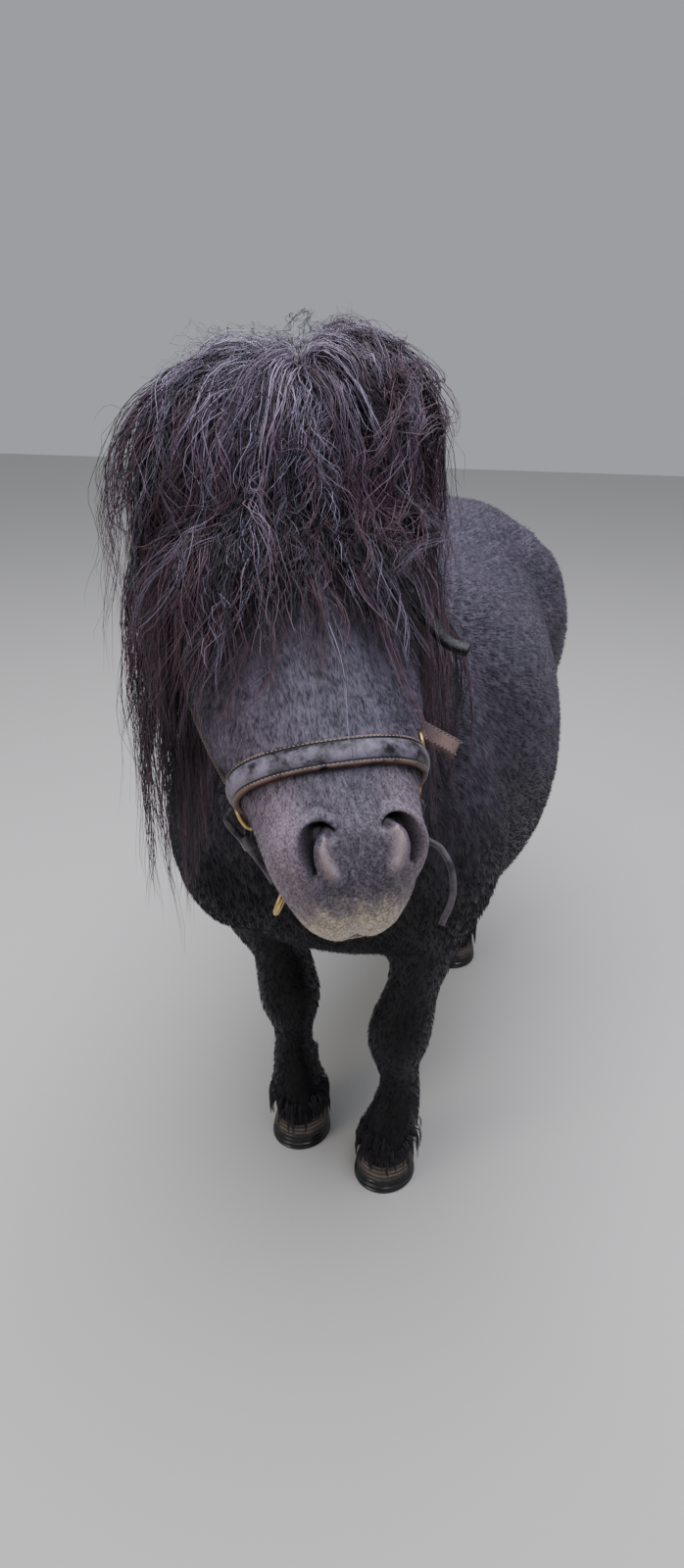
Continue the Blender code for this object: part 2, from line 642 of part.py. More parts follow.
def part_body(flesh, colours):
    """Cuts the body into the pieces a person would name."""
    nodes = {}
    coat = colours["coat"]

    def piece(name, source, keep, away=()):
        made = copy_of(source, name)
        combine(made, "INTERSECT", keep)
        if away:
            combine(made, "DIFFERENCE", list(away))
        made.data.materials.clear()
        made.data.materials.append(coat)
        nodes[name] = keep_largest(made)
        return made

    piece("head", flesh, [half_space(HEAD_CUT[0], HEAD_CUT[1])])
    piece("neck", flesh, [half_space(HEAD_CUT[0], -Vector(HEAD_CUT[1])), half_space(NECK_CUT[0], NECK_CUT[1])])
    leg_blocks, rest = {}, copy_of(flesh, "rest")
    combine(rest, "INTERSECT", [half_space(NECK_CUT[0], -Vector(NECK_CUT[1]))])
    for side, out in (("l", 1), ("r", -1)):
        for kind, cut, box_y, shift in (("fore", FORE_CUT, FORE_BOX, FORE_SHIFT), ("hind", HIND_CUT, HIND_BOX, HIND_SHIFT)):
            point = Vector((cut[0][0] * out, cut[0][1], cut[0][2]))
            normal = Vector((cut[1][0] * out, cut[1][1], cut[1][2]))
            back = 0.03 if side == "r" else 0.0
            middle = Vector((0.204 * out, (box_y[0] + box_y[1]) / 2 + back, 0.35))
            sizes = Vector((0.2, (box_y[1] - box_y[0]) / 2, 0.4))
            leg = block(middle, sizes - Vector((GAP, GAP, GAP)) / 2)
            combine(leg, "INTERSECT", [half_space(point, normal)])
            larger = block(middle, sizes + Vector((GAP, GAP, GAP)) / 2)
            combine(larger, "INTERSECT", [half_space(point, normal, -GAP / 2)])
            leg_blocks[kind, side] = (leg, larger)
    dock_block = block(Vector((0, DOCK_FROM + 0.2, 0.7)), (0.09, 0.2 - GAP / 2, 0.4))
    dock_larger = block(Vector((0, DOCK_FROM + 0.2, 0.7)), (0.09, 0.2 + GAP / 2, 0.4))
    torso = copy_of(rest, "torso")
    combine(torso, "DIFFERENCE", [copy_of(pair[1], "block") for pair in leg_blocks.values()])
    combine(torso, "DIFFERENCE", [dock_larger])
    torso.data.materials.clear()
    torso.data.materials.append(coat)
    nodes["torso"] = keep_largest(torso)
    piece("tail", rest, [dock_block])
    for (kind, side), (leg, larger) in leg_blocks.items():
        bend_at = KNEE if kind == "fore" else HOCK
        upper, lower = f"{kind}leg_{side}_upper", f"{kind}leg_{side}_lower"
        rows = shifted(FORE_ROWS, side, FORE_SHIFT) if kind == "fore" else shifted(HIND_ROWS, side, HIND_SHIFT)
        hoof_x, hoof_y = rows[-1][0], rows[-1][1]
        piece(upper, rest, [copy_of(leg, "block"), half_space((0, 0, bend_at), (0, 0, 1))])
        slope = Vector((0, (HOOF_HEIGHT - HOOF_HEEL) / (2 * HOOF_TOE), 1)).normalized()
        coronet = Vector((hoof_x, hoof_y, coronet_height(0)))
        piece(lower, rest, [leg, half_space((0, 0, bend_at), (0, 0, -1)), half_space(coronet, slope)])
        bm = bmesh.new()
        loft(bm, hoof_rings(hoof_x, hoof_y))
        hoof = add_object(f"hoof_{kind}_{side}", bm, colours["horn"])
        combine(hoof, "INTERSECT", [half_space(coronet, -slope)])
        nodes[hoof.name] = hoof
        bpy.data.objects.remove(larger, do_unlink=True)
    bpy.data.objects.remove(rest, do_unlink=True)
    return nodes


# Hair

def fall(root, heading, length, surface, clearance, droop, steps=5, wave=0.0, keep=None):
    """The path of a lock: it sets off along heading, hangs down within the length droop, and lies on the body."""
    near, normal, _, _ = surface.find_nearest(root)
    path, facing = [root.copy()], [normal]
    direction = heading.normalized()
    stride = length / (steps * 3)
    turning = 1 - math.exp(-stride / droop)
    phase = random_source.uniform(0, 6.28)
    here = root.copy()
    if (root - near).dot(normal) < clearance:
        here = near + normal * clearance
    for step in range(steps * 3):
        sway = direction.cross(facing[-1]) * (wave * 0.4 * math.sin(phase + 0.8 * step))
        point = here + direction * stride + sway
        near, normal, _, _ = surface.find_nearest(point)
        lift = (point - near).dot(normal)
        if lift < clearance:
            point = near + normal * clearance
        over = 1.0 if keep is None else (point - keep[0]).dot(keep[1]) - keep[2]
        if over < 0:
            point -= keep[1] * over
        direction = (point - here).normalized()
        direction = (direction * (1 - turning) + Vector((0, 0, -turning))).normalized()
        here = point
        if step % 3 == 2:
            path.append(point)
            facing.append(normal)
    return path, facing


def add_lock(bm, path, facing, half_width, half_depth, tip=0.10):
    """A flat lock with a ridge along its face, tapering from its root to its tip."""
    rings = []
    last = len(path) - 1
    for i, point in enumerate(path):
        along = (path[min(i + 1, last)] - path[max(i - 1, 0)]).normalized()
        outward = facing[i] - along * facing[i].dot(along)
        if outward.length < 1e-4:
            outward = along.orthogonal()
        outward.normalize()
        across = along.cross(outward)
        u = i / last
        share = (1 - u ** 2.0) * (1 - tip) + tip
        half, deep = half_width * share, max(half_depth * share, 0.0010)
        rings.append([point + across * half - outward * deep * 0.5, point + outward * deep,
                      point - across * half - outward * deep * 0.5])
    loft(bm, rings)


def lock_object(path, facing, half_width, half_depth):
    bm = bmesh.new()
    add_lock(bm, path, facing, half_width, half_depth)
    return add_object("lock", bm)


def crest_point(t):
    """A point on the crest of the neck, from the poll at 0 to the withers at 1."""
    x = t * (len(CREST_PATH) - 1)
    i = min(int(x), len(CREST_PATH) - 2)
    return Vector(CREST_PATH[i]).lerp(Vector(CREST_PATH[i + 1]), x - i)


def union_hair(name, core, locks, finish):
    """Fuses the locks into their core, and takes away the needless small triangles where they cross."""
    combine(core, "UNION", locks)
    keep_largest(core)
    thinning = core.modifiers.new("thin", "DECIMATE")
    thinning.ratio = HAIR_KEPT
    apply_modifiers(core)
    core.name = name
    core.data.materials.clear()
    core.data.materials.append(finish)
    return core


def make_forelock(flesh, finish):
    bm = bmesh.new()
    add_ball(bm, head_point(0.012, -0.002, -0.010), HEAD_AXES, FORELOCK_CORE, 14)
    core = add_object("core", bm)
    ahead = Vector((FACE.x, FACE.y, 0)).normalized()
    surface = surface_of(flesh, core)
    keep = (PARTING, ahead, 0.012)
    locks = []
    for clearance, count, reach, length, up in FORELOCK_LAYERS:
        for i in range(count):
            angle = math.radians(reach) * (2 * (i + 0.5 * random_source.random() + 0.25) / count - 1)
            out, down = math.sin(angle), math.cos(angle)
            root = head_point(0.012 + 0.020 * down, 0.040 * out, 0.044)
            heading = FACE * (0.9 * down) + SIDE * (1.0 * out) + BROW * up
            extent = length * (0.86 + 0.28 * random_source.random())
            path, facing = fall(root, heading, extent, surface, clearance, FORELOCK_DROOP[out > 0], 5, 0.008, keep)
            locks.append(lock_object(path, facing, 0.025, 0.0100))
    forelock = union_hair("forelock", core, locks, finish)
    return combine(forelock, "INTERSECT", [half_space(PARTING, ahead)])


def mane_core():
    """A saddle of hair over the crest, down the upper sides of the neck, thinner on the left behind."""
    above, reach = MANE_CORE
    thin_from, thin_to, thinnest = LEFT_THINS
    rings = []
    steps = 7
    for i in range(steps):
        t = i / (steps - 1)
        along = (crest_point(min(1.0, t + 0.05)) - crest_point(max(0.0, t - 0.05))).normalized()
        across = along.cross(Vector((0, 0, 1))).normalized()
        up = across.cross(along)
        fade = 1 - 0.7 * t ** 3
        half = (MANE_HALF[0] + (MANE_HALF[1] - MANE_HALF[0]) * t) * 0.90 * fade + 0.010
        left = 1 - (1 - thinnest) * min(1.0, max(0.0, (t - thin_from) / (thin_to - thin_from)))
        points = ring(Vector(), across, up, half, (reach + above) * fade, 0.02, 14)
        points = [point - across * (max(0.0, point.dot(across)) * (1 - left)) for point in points]
        rings.append([crest_point(t) - up * reach * fade + point for point in points])
    bm = bmesh.new()
    loft(bm, rings)
    return add_object("core", bm)


def make_mane(flesh, finish):
    core = mane_core()
    surface = surface_of(flesh, core)
    keep = (PARTING, -Vector((FACE.x, FACE.y, 0)).normalized(), 0.012)
    locks = []
    for clearance, counts, length, up in MANE_LAYERS:
        for out, count in counts.items():
            for i in range(count):
                t = MANE_ENDS[out] * (i + 0.15 + 0.7 * random_source.random()) / count
                root = crest_point(t) + Vector((-out * 0.012, 0, MANE_CORE[0] * 0.8))
                heading = Vector((out, 0.15 * random_source.uniform(-1, 1), up))
                extent = length * (1 - MANE_SHORTENS * t) * (0.88 + 0.24 * random_source.random())
                droop = MANE_DROOP_BEHIND + (MANE_DROOP[out > 0] - MANE_DROOP_BEHIND) * (1 - t) ** 2
                path, facing = fall(root, heading, extent, surface, clearance, droop, 5, 0.008, keep)
                locks.append(lock_object(path, facing, 0.038, 0.0110))
    mane = union_hair("mane", core, locks, finish)
    return combine(mane, "INTERSECT", [half_space(PARTING, -Vector((FACE.x, FACE.y, 0)))])


def make_tail(dock, surface, finish):
    locks = []
    for row, (place, count, length) in enumerate(TAIL_LAYERS):
        for i in range(count):
            angle = 2 * math.pi * (i + 0.5 * row + 0.3 * random_source.random()) / count
            way = Vector((math.sin(angle), math.cos(angle), 0))
            root = Vector((0, place[0], place[1])) + way * 0.008
            heading = way * 0.35 + Vector((0, 0.12, -0.60))
            extent = length * (0.9 + 0.2 * random_source.random())
            path, _ = fall(root, heading, extent, surface, 0.026, 0.05, 5, 0.010)
            locks.append(lock_object(path, [way] * len(path), 0.030, 0.0100))
    return union_hair("tail", dock, locks, finish)


def add_feathers(node, surface, foot):
    """Long hair behind the fetlock and over the top of the hoof."""
    locks = []
    for count, height, radius, length, half_width in FEATHER_LAYERS:
        behind = height > 0.10
        for i in range(count):
            angle = 2 * math.pi * (i + 0.4 * random_source.random()) / count
            if behind:
                angle = math.radians(50) * (2 * i / (count - 1) - 1)
            way = Vector((math.sin(angle), math.cos(angle), 0))
            root = Vector((foot[0], foot[1] + (0.024 if behind else 0.006), height)) + way * radius
            heading = way * 0.35 + Vector((0, 0, -1))
            path, _ = fall(root, heading, length, surface, 0.004, 0.02, 3)
            path = [Vector((point.x, point.y, max(point.z, FEATHER_FLOOR))) for point in path]
            locks.append(lock_object(path, [way] * len(path), half_width, 0.0060))
    combine(node, "UNION", locks)
    thinning = keep_largest(node).modifiers.new("thin", "DECIMATE")
    thinning.ratio = FEATHERED_KEPT
    return apply_modifiers(node)


# Headcollar

def cast(surface, down, angle):
    """A point on the head at a distance down the face and an angle round it, 90 degrees being the bridge."""
    angle = math.radians(angle)
    way = SIDE * math.cos(angle) + BROW * math.sin(angle)
    middle = head_point(down, 0, -0.070)
    point, normal, _, _ = surface.ray_cast(middle + way * 0.30, -way)
    if point is None:
        return middle + way * 0.08, way
    return point, (normal + way * 1.2).normalized()


def strap_path(surface, turns, steps):
    """Reads a smooth path over the head from a few (down, angle) pairs."""
    points = [cast(surface, down, angle) for down, angle in smooth_rows(turns, steps)]
    path, facing = [point for point, _ in points], [normal for _, normal in points]
    for _ in range(2):
        path = [path[0]] + [(a + b * 2 + c) / 4 for a, b, c in zip(path, path[1:], path[2:])] + [path[-1]]
        facing = ([facing[0]] + [(a + b + c).normalized() for a, b, c in zip(facing, facing[1:], facing[2:])]
                  + [facing[-1]])
    return path, facing


def strap(name, path, facing, width, thickness, finish, lift=0.0, closed=False):
    """A flat strap lying along a path, its back a little into the surface."""
    rings = []
    last = len(path) - 1
    for i, point in enumerate(path):
        before, after = path[max(i - 1, 0)], path[min(i + 1, last)]
        along = (after - before).normalized()
        outward = (facing[i] - along * facing[i].dot(along)).normalized()
        across = along.cross(outward)
        low, high, edge = lift - 0.004, lift + thickness, width / 2
        rings.append([point + across * edge + outward * low, point + across * edge + outward * (high * 0.8),
                      point + across * (edge * 0.7) + outward * high, point - across * (edge * 0.7) + outward * high,
                      point - across * edge + outward * (high * 0.8), point - across * edge + outward * low])
    bm = bmesh.new()
    loft(bm, rings)
    return add_object(name, bm, finish)


def round_strap(name, path, radius, finish, sides=6):
    """A rolled strap or a lace, round in section."""
    rings = []
    last = len(path) - 1
    side = None
    for i, point in enumerate(path):
        along = (path[min(i + 1, last)] - path[max(i - 1, 0)]).normalized()
        side = along.orthogonal() if side is None else side - along * side.dot(along)
        side.normalize()
        rings.append(ring(point, side, along.cross(side), radius, radius, radius, sides))
    bm = bmesh.new()
    loft(bm, rings)
    return add_object(name, bm, finish)


def hoop(name, centre, normal, radius, thickness, finish, segments=12, sides=6):
    """A ring of round bar."""
    normal = normal.normalized()
    side = normal.orthogonal().normalized()
    other = normal.cross(side)
    bm = bmesh.new()
    rows = []
    for i in range(segments):
        angle = 2 * math.pi * i / segments
        way = side * math.cos(angle) + other * math.sin(angle)
        rows.append([bm.verts.new(centre + way * (radius + thickness * math.cos(a)) + normal * (thickness * math.sin(a)))
                     for a in (2 * math.pi * k / sides for k in range(sides))])
    for i in range(segments):
        low, high = rows[i], rows[(i + 1) % segments]
        for k in range(sides):
            bm.faces.new((low[k], low[(k + 1) % sides], high[(k + 1) % sides], high[k]))
    return add_object(name, bm, finish)


def bezier(points, steps):
    """A smooth path through a few points."""
    return [Vector(row) for row in smooth_rows([tuple(point) for point in points], steps)]


def chin_straps(leather, brass):
    """Rolled straps from the noseband's rings to the chin ring, which is drawn to the right."""
    chin_ring = hoop("chin_ring", head_point(0.386, -0.049, -0.139), FACE * 0.5 + SIDE * 0.8, 0.0125, 0.0024, brass)
    made = [chin_ring]
    courses = {
        "chin_strap_r": ([(0.316, -0.080, -0.090), (0.325, -0.086, -0.096), (0.344, -0.074, -0.102),
                          (0.358, -0.063, -0.117), (0.374, -0.054, -0.126)],
                         [(0.316, -0.074, -0.090), (0.326, -0.070, -0.095), (0.344, -0.070, -0.110),
                          (0.358, -0.060, -0.124), (0.374, -0.050, -0.132)]),
        "chin_strap_l": ([(0.332, 0.080, -0.094), (0.352, 0.053, -0.124), (0.366, 0.010, -0.136),
                          (0.376, -0.036, -0.132)],
                         [(0.332, 0.078, -0.102), (0.352, 0.050, -0.132), (0.366, 0.008, -0.144),
                          (0.376, -0.038, -0.140)]),
    }
    for name, pair in courses.items():
        first, second = (bezier([head_point(*point) for point in course], 3) for course in pair)
        one = round_strap(name, first, 0.0042, leather)
        other = round_strap("other", second, 0.0042, leather)
        middle = [(a + b) / 2 for a, b in zip(first, second)]
        keeper = strap("keeper", middle[5:8], [FACE] * 3, 0.022, 0.0055, leather)
        combine(one, "UNION", [other, keeper])
        combine(one, "DIFFERENCE", [grown(chin_ring, GAP)])
        made.append(keep_largest(one))
    return made


def loose_ends(colours):
    """The buckle on the left cheek and the ends of straps that stand away from the face."""
    brown, leather, brass = colours["brown leather"], colours["leather"], colours["brass"]
    made = []
    path = bezier([head_point(0.276, 0.077, -0.059), head_point(0.289, 0.095, -0.062),
                   head_point(0.303, 0.113, -0.064)], 3)
    made.append(strap("strap_end_brown", path, [BROW] * len(path), 0.017, 0.0028, brown))
    path = bezier([head_point(0.169, 0.100, -0.036), head_point(0.190, 0.112, -0.042),
                   head_point(0.209, 0.124, -0.046), head_point(0.220, 0.140, -0.045)], 3)
    made.append(strap("strap_end_black", path, [BROW] * len(path), 0.012, 0.0040, leather))
    path = bezier([head_point(*point) for point in LACE], 4)
    made.append(round_strap("lace", path, 0.0030, leather, 6))
    made.append(hoop("buckle", head_point(0.294, 0.082, -0.065), SIDE, 0.0125, 0.0018, brass, 8))
    return made


def make_headcollar(surface, colours):
    """The straps and fittings, from the nose up."""
    leather, brass = colours["leather"], colours["brass"]
    made = []
    for name, sign in (("l", 1), ("r", -1)):
        side_point, side_normal = cast(surface, NOSE_DOWN + 0.012, 90 - sign * 106)
        made.append(hoop(f"side_ring_{name}", side_point + side_normal * 0.0050, side_normal, 0.0130, 0.0022, brass))
    path, facing = strap_path(surface, [(NOSE_DOWN + 0.006, -18), (NOSE_DOWN + 0.004, 20), (NOSE_DOWN + 0.008, 90),
                                        (NOSE_DOWN + 0.004, 160), (NOSE_DOWN + 0.006, 198)], 3)
    made.append(strap("noseband", path, facing, 0.024, 0.0055, leather))
    for name, sign in (("l", 1), ("r", -1)):
        def turn(angle):
            return angle if sign > 0 else 180 - angle
        path, facing = strap_path(surface, [(NOSE_DOWN - 0.012, turn(-14)), (0.23, turn(-16)), (0.14, turn(-14)),
                                            (0.075, turn(-4)), (0.034, turn(6))], 3)
        made.append(strap(f"cheek_strap_{name}", path, facing, 0.019, 0.004, leather))
    made += chin_straps(leather, brass)
    made += loose_ends(colours)
    path, facing = strap_path(surface, [(0.026, 8), (-0.012, 14), (-0.034, 40), (-0.040, 90),
                                        (-0.034, 140), (-0.012, 166), (0.026, 172)], 2)
    made.append(strap("crownpiece", path, facing, 0.022, 0.004, leather))
    path, facing = strap_path(surface, [(0.050, -4), (0.085, -30), (0.105, -60), (0.110, -90), (0.105, -120),
                                        (0.085, -150), (0.050, -176)], 3)
    made.append(strap("throat_lash", path, facing, 0.016, 0.0035, leather))
    return made


def move_origin():
    """Puts the origin in the middle of the footprint of the whole model, on the ground."""
    low, high = Vector((1e9, 1e9, 1e9)), Vector((-1e9, -1e9, -1e9))
    for obj in bpy.data.objects:
        for vert in obj.data.vertices:
            low = Vector(map(min, low, vert.co))
            high = Vector(map(max, high, vert.co))
    shift = Vector((-(low.x + high.x) / 2, -(low.y + high.y) / 2, -low.z))
    for obj in bpy.data.objects:
        obj.data.transform(Matrix.Translation(shift))


def main():
    clear_scene()
    colours = {
        "coat": material("black coat", (0.040, 0.033, 0.045), 0.62),
        "hair": material("black mane hair", (0.050, 0.040, 0.055), 0.55),
        "horn": material("hoof horn", (0.045, 0.040, 0.036), 0.40),
        "eye": material("dark brown eye", (0.010, 0.006, 0.005), 0.08),
        "leather": material("worn brown leather", (0.060, 0.045, 0.045), 0.50),
        "brown leather": material("red-brown leather", (0.110, 0.070, 0.062), 0.60),
        "brass": material("brass fittings", (0.560, 0.420, 0.190), 0.35, 1.0),
    }
    flesh = thin_out(model_flesh())
    surface = surface_of(flesh)
    nodes = part_body(flesh, colours)
    head = model_lids(nodes["head"])
    combine(head, "DIFFERENCE", nostril_cutters(surface))
    combine(head, "DIFFERENCE", [mouth_cutter()])
    eyes = make_eyes(colours["eye"])
    combine(head, "DIFFERENCE", [grown(eye, GAP) for eye in eyes])
    keep_largest(head)
    ears = make_ears(head, colours["coat"])
    straps = make_headcollar(surface, colours)
    whole_straps = [grown(strap_node, 2.5 * GAP) for strap_node in straps]
    for i, strap_node in enumerate(straps):
        combine(strap_node, "DIFFERENCE", [grown(near, GAP) for near in [head, nodes["neck"]] + ears])
        if i:
            combine(strap_node, "DIFFERENCE", [grown(other, GAP) for other in straps[:i]])
        keep_largest(strap_node)
    for side, out in (("l", 1), ("r", -1)):
        for kind, rows, shift in (("fore", FORE_ROWS, FORE_SHIFT), ("hind", HIND_ROWS, HIND_SHIFT)):
            foot = shifted(rows, side, shift)[-1][:2]
            lower = nodes[f"{kind}leg_{side}_lower"]
            add_feathers(lower, surface, foot)
            combine(lower, "DIFFERENCE", [grown(nodes[f"hoof_{kind}_{side}"], GAP)])
            keep_largest(lower)
    forelock = make_forelock(flesh, colours["hair"])
    mane = make_mane(flesh, colours["hair"])
    make_tail(nodes["tail"], surface, colours["hair"])
    behind = ["torso", "hindleg_l_upper", "hindleg_r_upper", "hindleg_l_lower", "hindleg_r_lower"]
    combine(nodes["tail"], "DIFFERENCE", [grown(nodes[name], GAP) for name in behind])
    keep_largest(nodes["tail"])
    for hair in (forelock, mane):
        cutters = [grown(other, GAP) for other in [head, nodes["neck"], nodes["torso"]]]
        cutters += [grown(other, 2.5 * GAP) for other in ears + eyes]
        cutters += [copy_of(other, "strap") for other in whole_straps]
        combine(hair, "DIFFERENCE", cutters)
        open_pinches(keep_largest(hair))
    for done in whole_straps + [flesh]:
        bpy.data.objects.remove(done, do_unlink=True)
    for obj in bpy.data.objects:
        for face in obj.data.polygons:
            face.use_smooth = True
    move_origin()


main()
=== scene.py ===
"""The looks of a black Shetland pony in a leather headcollar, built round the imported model.

Metres, +Z up. Sizes are in the body's own frame: the pony faces -Y, its left side is +X, and y = 0 is
midway between its front hooves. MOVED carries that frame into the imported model's.
"""

import math
import random

import bmesh
import bpy
import numpy as np
from mathutils import Matrix, Vector
from mathutils.bvhtree import BVHTree


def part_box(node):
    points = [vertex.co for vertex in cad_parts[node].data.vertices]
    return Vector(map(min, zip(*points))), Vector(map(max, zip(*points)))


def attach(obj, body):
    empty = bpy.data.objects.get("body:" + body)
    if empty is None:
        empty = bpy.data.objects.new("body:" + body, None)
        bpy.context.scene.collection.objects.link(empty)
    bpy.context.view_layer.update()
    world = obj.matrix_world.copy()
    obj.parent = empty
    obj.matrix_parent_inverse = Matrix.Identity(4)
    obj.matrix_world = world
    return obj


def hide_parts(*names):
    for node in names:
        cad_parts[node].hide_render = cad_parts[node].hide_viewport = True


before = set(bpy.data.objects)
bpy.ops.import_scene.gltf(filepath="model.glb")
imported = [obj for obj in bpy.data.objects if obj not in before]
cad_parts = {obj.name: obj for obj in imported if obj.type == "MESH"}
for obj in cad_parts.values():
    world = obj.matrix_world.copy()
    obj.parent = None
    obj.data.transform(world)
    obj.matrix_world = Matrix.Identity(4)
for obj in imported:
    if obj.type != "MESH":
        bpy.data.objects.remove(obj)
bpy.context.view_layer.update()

# The left front hoof says where the body's own frame lies.
HOOF_X, HOOF_Y = 0.080, -0.028
HOOF_HALF_LENGTH = 0.056
hoof_low, hoof_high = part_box("hoof_fore_l")
MOVED = Vector(((hoof_low.x + hoof_high.x) / 2 - HOOF_X, hoof_low.y + HOOF_HALF_LENGTH - HOOF_Y, 0))

# Head: its own axes start at the poll and run down the face.
POLL = Vector((0.041, -0.388, 1.187))
HEAD_YAW = math.radians(30)
HEAD_PITCH = math.radians(42)
HEAD_ROLL = math.radians(5)
FACE = Vector((math.sin(HEAD_YAW) * math.cos(HEAD_PITCH), -math.cos(HEAD_YAW) * math.cos(HEAD_PITCH),
               -math.sin(HEAD_PITCH)))
LEVEL = Vector((math.cos(HEAD_YAW), math.sin(HEAD_YAW), 0))
SIDE = LEVEL * math.cos(HEAD_ROLL) + FACE.cross(LEVEL) * math.sin(HEAD_ROLL)
BROW = FACE.cross(SIDE)
HEAD_AXES = (FACE, SIDE, BROW)
UPRIGHT = Matrix.Identity(3)

# Distance down the face, then the bridge and the jaw measured from the face line, then half the width.
HEAD_ROWS = [
    (-0.030, -0.035, -0.100, 0.045),
    (0.010, -0.004, -0.135, 0.070),
    (0.060, 0.010, -0.178, 0.090),
    (0.120, 0.013, -0.200, 0.100),
    (0.180, 0.006, -0.195, 0.103),
    (0.230, -0.001, -0.170, 0.099),
    (0.280, -0.004, -0.140, 0.090),
    (0.325, -0.005, -0.120, 0.078),
    (0.365, -0.006, -0.112, 0.069),
    (0.400, -0.012, -0.108, 0.061),
    (0.430, -0.030, -0.104, 0.045),
    (0.447, -0.052, -0.094, 0.026),
]
EYE_DOWN, EYE_OUT, EYE_IN, EYE_RADIUS = 0.150, 0.086, -0.040, 0.0185
SLIT_HALF, LID_THICK = 0.0165, 0.0030    # half the length of the eye's opening, and the lid over the eyeball
NOSTRIL_DOWN = 0.390

# Barrel: x, distance along the back, height of the back, height of the belly, half width.
BARREL_ROWS = [
    (-0.010, -0.162, 0.750, 0.640, 0.060),
    (-0.012, -0.125, 0.835, 0.505, 0.145),
    (-0.014, -0.060, 0.905, 0.422, 0.200),
    (-0.010, 0.020, 0.960, 0.400, 0.238),
    (-0.004, 0.100, 0.988, 0.392, 0.266),
    (0.002, 0.210, 0.970, 0.386, 0.287),
    (0.004, 0.350, 0.952, 0.386, 0.280),
    (0.004, 0.470, 0.952, 0.404, 0.260),
    (0.002, 0.570, 0.966, 0.442, 0.240),
    (0.0, 0.660, 0.980, 0.485, 0.236),
    (0.0, 0.750, 0.974, 0.545, 0.222),
    (0.0, 0.815, 0.938, 0.590, 0.186),
    (0.0, 0.862, 0.872, 0.655, 0.110),
]
BACK_FULLNESS, BELLY_FULLNESS = 0.82, 0.68   # under 1 gives that half of the barrel squarer corners

# Neck: x, then y and z of the crest, y and z of the throat line, half width.
NECK_ROWS = [
    (0.000, 0.130, 0.975, -0.120, 0.580, 0.160),
    (0.004, -0.010, 1.038, -0.190, 0.680, 0.138),
    (0.016, -0.140, 1.102, -0.255, 0.780, 0.118),
    (0.034, -0.275, 1.160, -0.318, 0.875, 0.100),
    (0.044, -0.375, 1.178, -0.375, 0.955, 0.084),
]

# Legs, left side: x, y, z, half width across, half depth fore and aft.
FORE_ROWS = [
    (0.100, 0.085, 0.900, 0.050, 0.070),
    (0.135, 0.010, 0.780, 0.072, 0.125),
    (0.148, -0.040, 0.660, 0.082, 0.118),
    (0.146, -0.005, 0.545, 0.074, 0.100),
    (0.130, -0.002, 0.440, 0.057, 0.078),
    (0.115, -0.010, 0.360, 0.043, 0.056),
    (0.106, -0.018, 0.315, 0.049, 0.056),
    (0.097, -0.026, 0.272, 0.053, 0.058),
    (0.095, -0.020, 0.232, 0.043, 0.049),
    (0.097, -0.014, 0.195, 0.034, 0.042),
    (0.097, -0.012, 0.150, 0.038, 0.045),
    (0.090, -0.018, 0.105, 0.045, 0.051),
    (0.082, -0.030, 0.062, 0.047, 0.053),
    (0.080, -0.032, 0.030, 0.040, 0.045),
]
HIND_ROWS = [
    (0.105, 0.640, 0.880, 0.090, 0.120),
    (0.150, 0.680, 0.770, 0.112, 0.150),
    (0.150, 0.655, 0.660, 0.104, 0.148),
    (0.150, 0.630, 0.570, 0.080, 0.115),
    (0.137, 0.665, 0.490, 0.060, 0.082),
    (0.117, 0.712, 0.415, 0.045, 0.058),
    (0.102, 0.735, 0.360, 0.044, 0.054),
    (0.094, 0.728, 0.305, 0.038, 0.043),
    (0.088, 0.718, 0.230, 0.035, 0.038),
    (0.084, 0.708, 0.165, 0.038, 0.041),
    (0.081, 0.700, 0.125, 0.046, 0.051),
    (0.079, 0.684, 0.085, 0.041, 0.046),
    (0.077, 0.672, 0.055, 0.048, 0.053),
    (0.077, 0.670, 0.030, 0.041, 0.045),
]
FORE_SHIFT = {"l": 0.004, "r": 0.060}    # how far back each hoof stands
HIND_SHIFT = {"l": -0.040, "r": 0.070}
FORE_FULLER = {"l": 0.0, "r": 0.012}     # how much further out each foreleg bulges above the knee
FULLEST_AT, FULLER_WITHIN = 0.430, 0.130
SHIFT_FROM, SHIFT_TO = 0.62, 0.36        # the heights between which the shift comes in
LEGS = {"fore": (FORE_ROWS, FORE_SHIFT), "hind": (HIND_ROWS, HIND_SHIFT)}
SKIN_NODES = ["head", "neck", "torso"] + [
    f"{kind}leg_{side}_{half}" for kind in LEGS for side in "lr" for half in ("upper", "lower")]

HOOF_HEIGHT, HOOF_HEEL = 0.056, 0.038    # height of the upper edge at the toe and at the heel
HOOF_TOE = 0.050          # half the length that the two heights are apart
HOOF_SOLE = (0.050, 0.056)               # half width and half length on the ground
HOOF_TOP = (0.041, 0.044)                # the same at the upper edge
HOOF_STEPS, HOOF_RIDGES = 26, 7
SOLE_STEPS = [(0.10, 0.007), (0.50, 0.006), (0.86, 0.004), (0.90, 0.0)]   # share of the rim, height

DOCK_ROWS = [
    (0.000, 0.790, 0.890, 0.044, 0.044),
    (0.000, 0.862, 0.872, 0.040, 0.040),
    (0.000, 0.905, 0.815, 0.030, 0.030),
    (0.000, 0.918, 0.730, 0.024, 0.024),
    (0.000, 0.920, 0.650, 0.016, 0.016),
]
EAR_LENGTH = 0.088

# Hair
CREST_PATH = [(0.041, -0.380, 1.190), (0.034, -0.275, 1.166), (0.016, -0.140, 1.108), (0.004, -0.010, 1.045),
              (0.0, 0.090, 0.998)]
PARTING = Vector((0.041, -0.392, 1.187))    # where the forelock's and the mane's dark masses meet

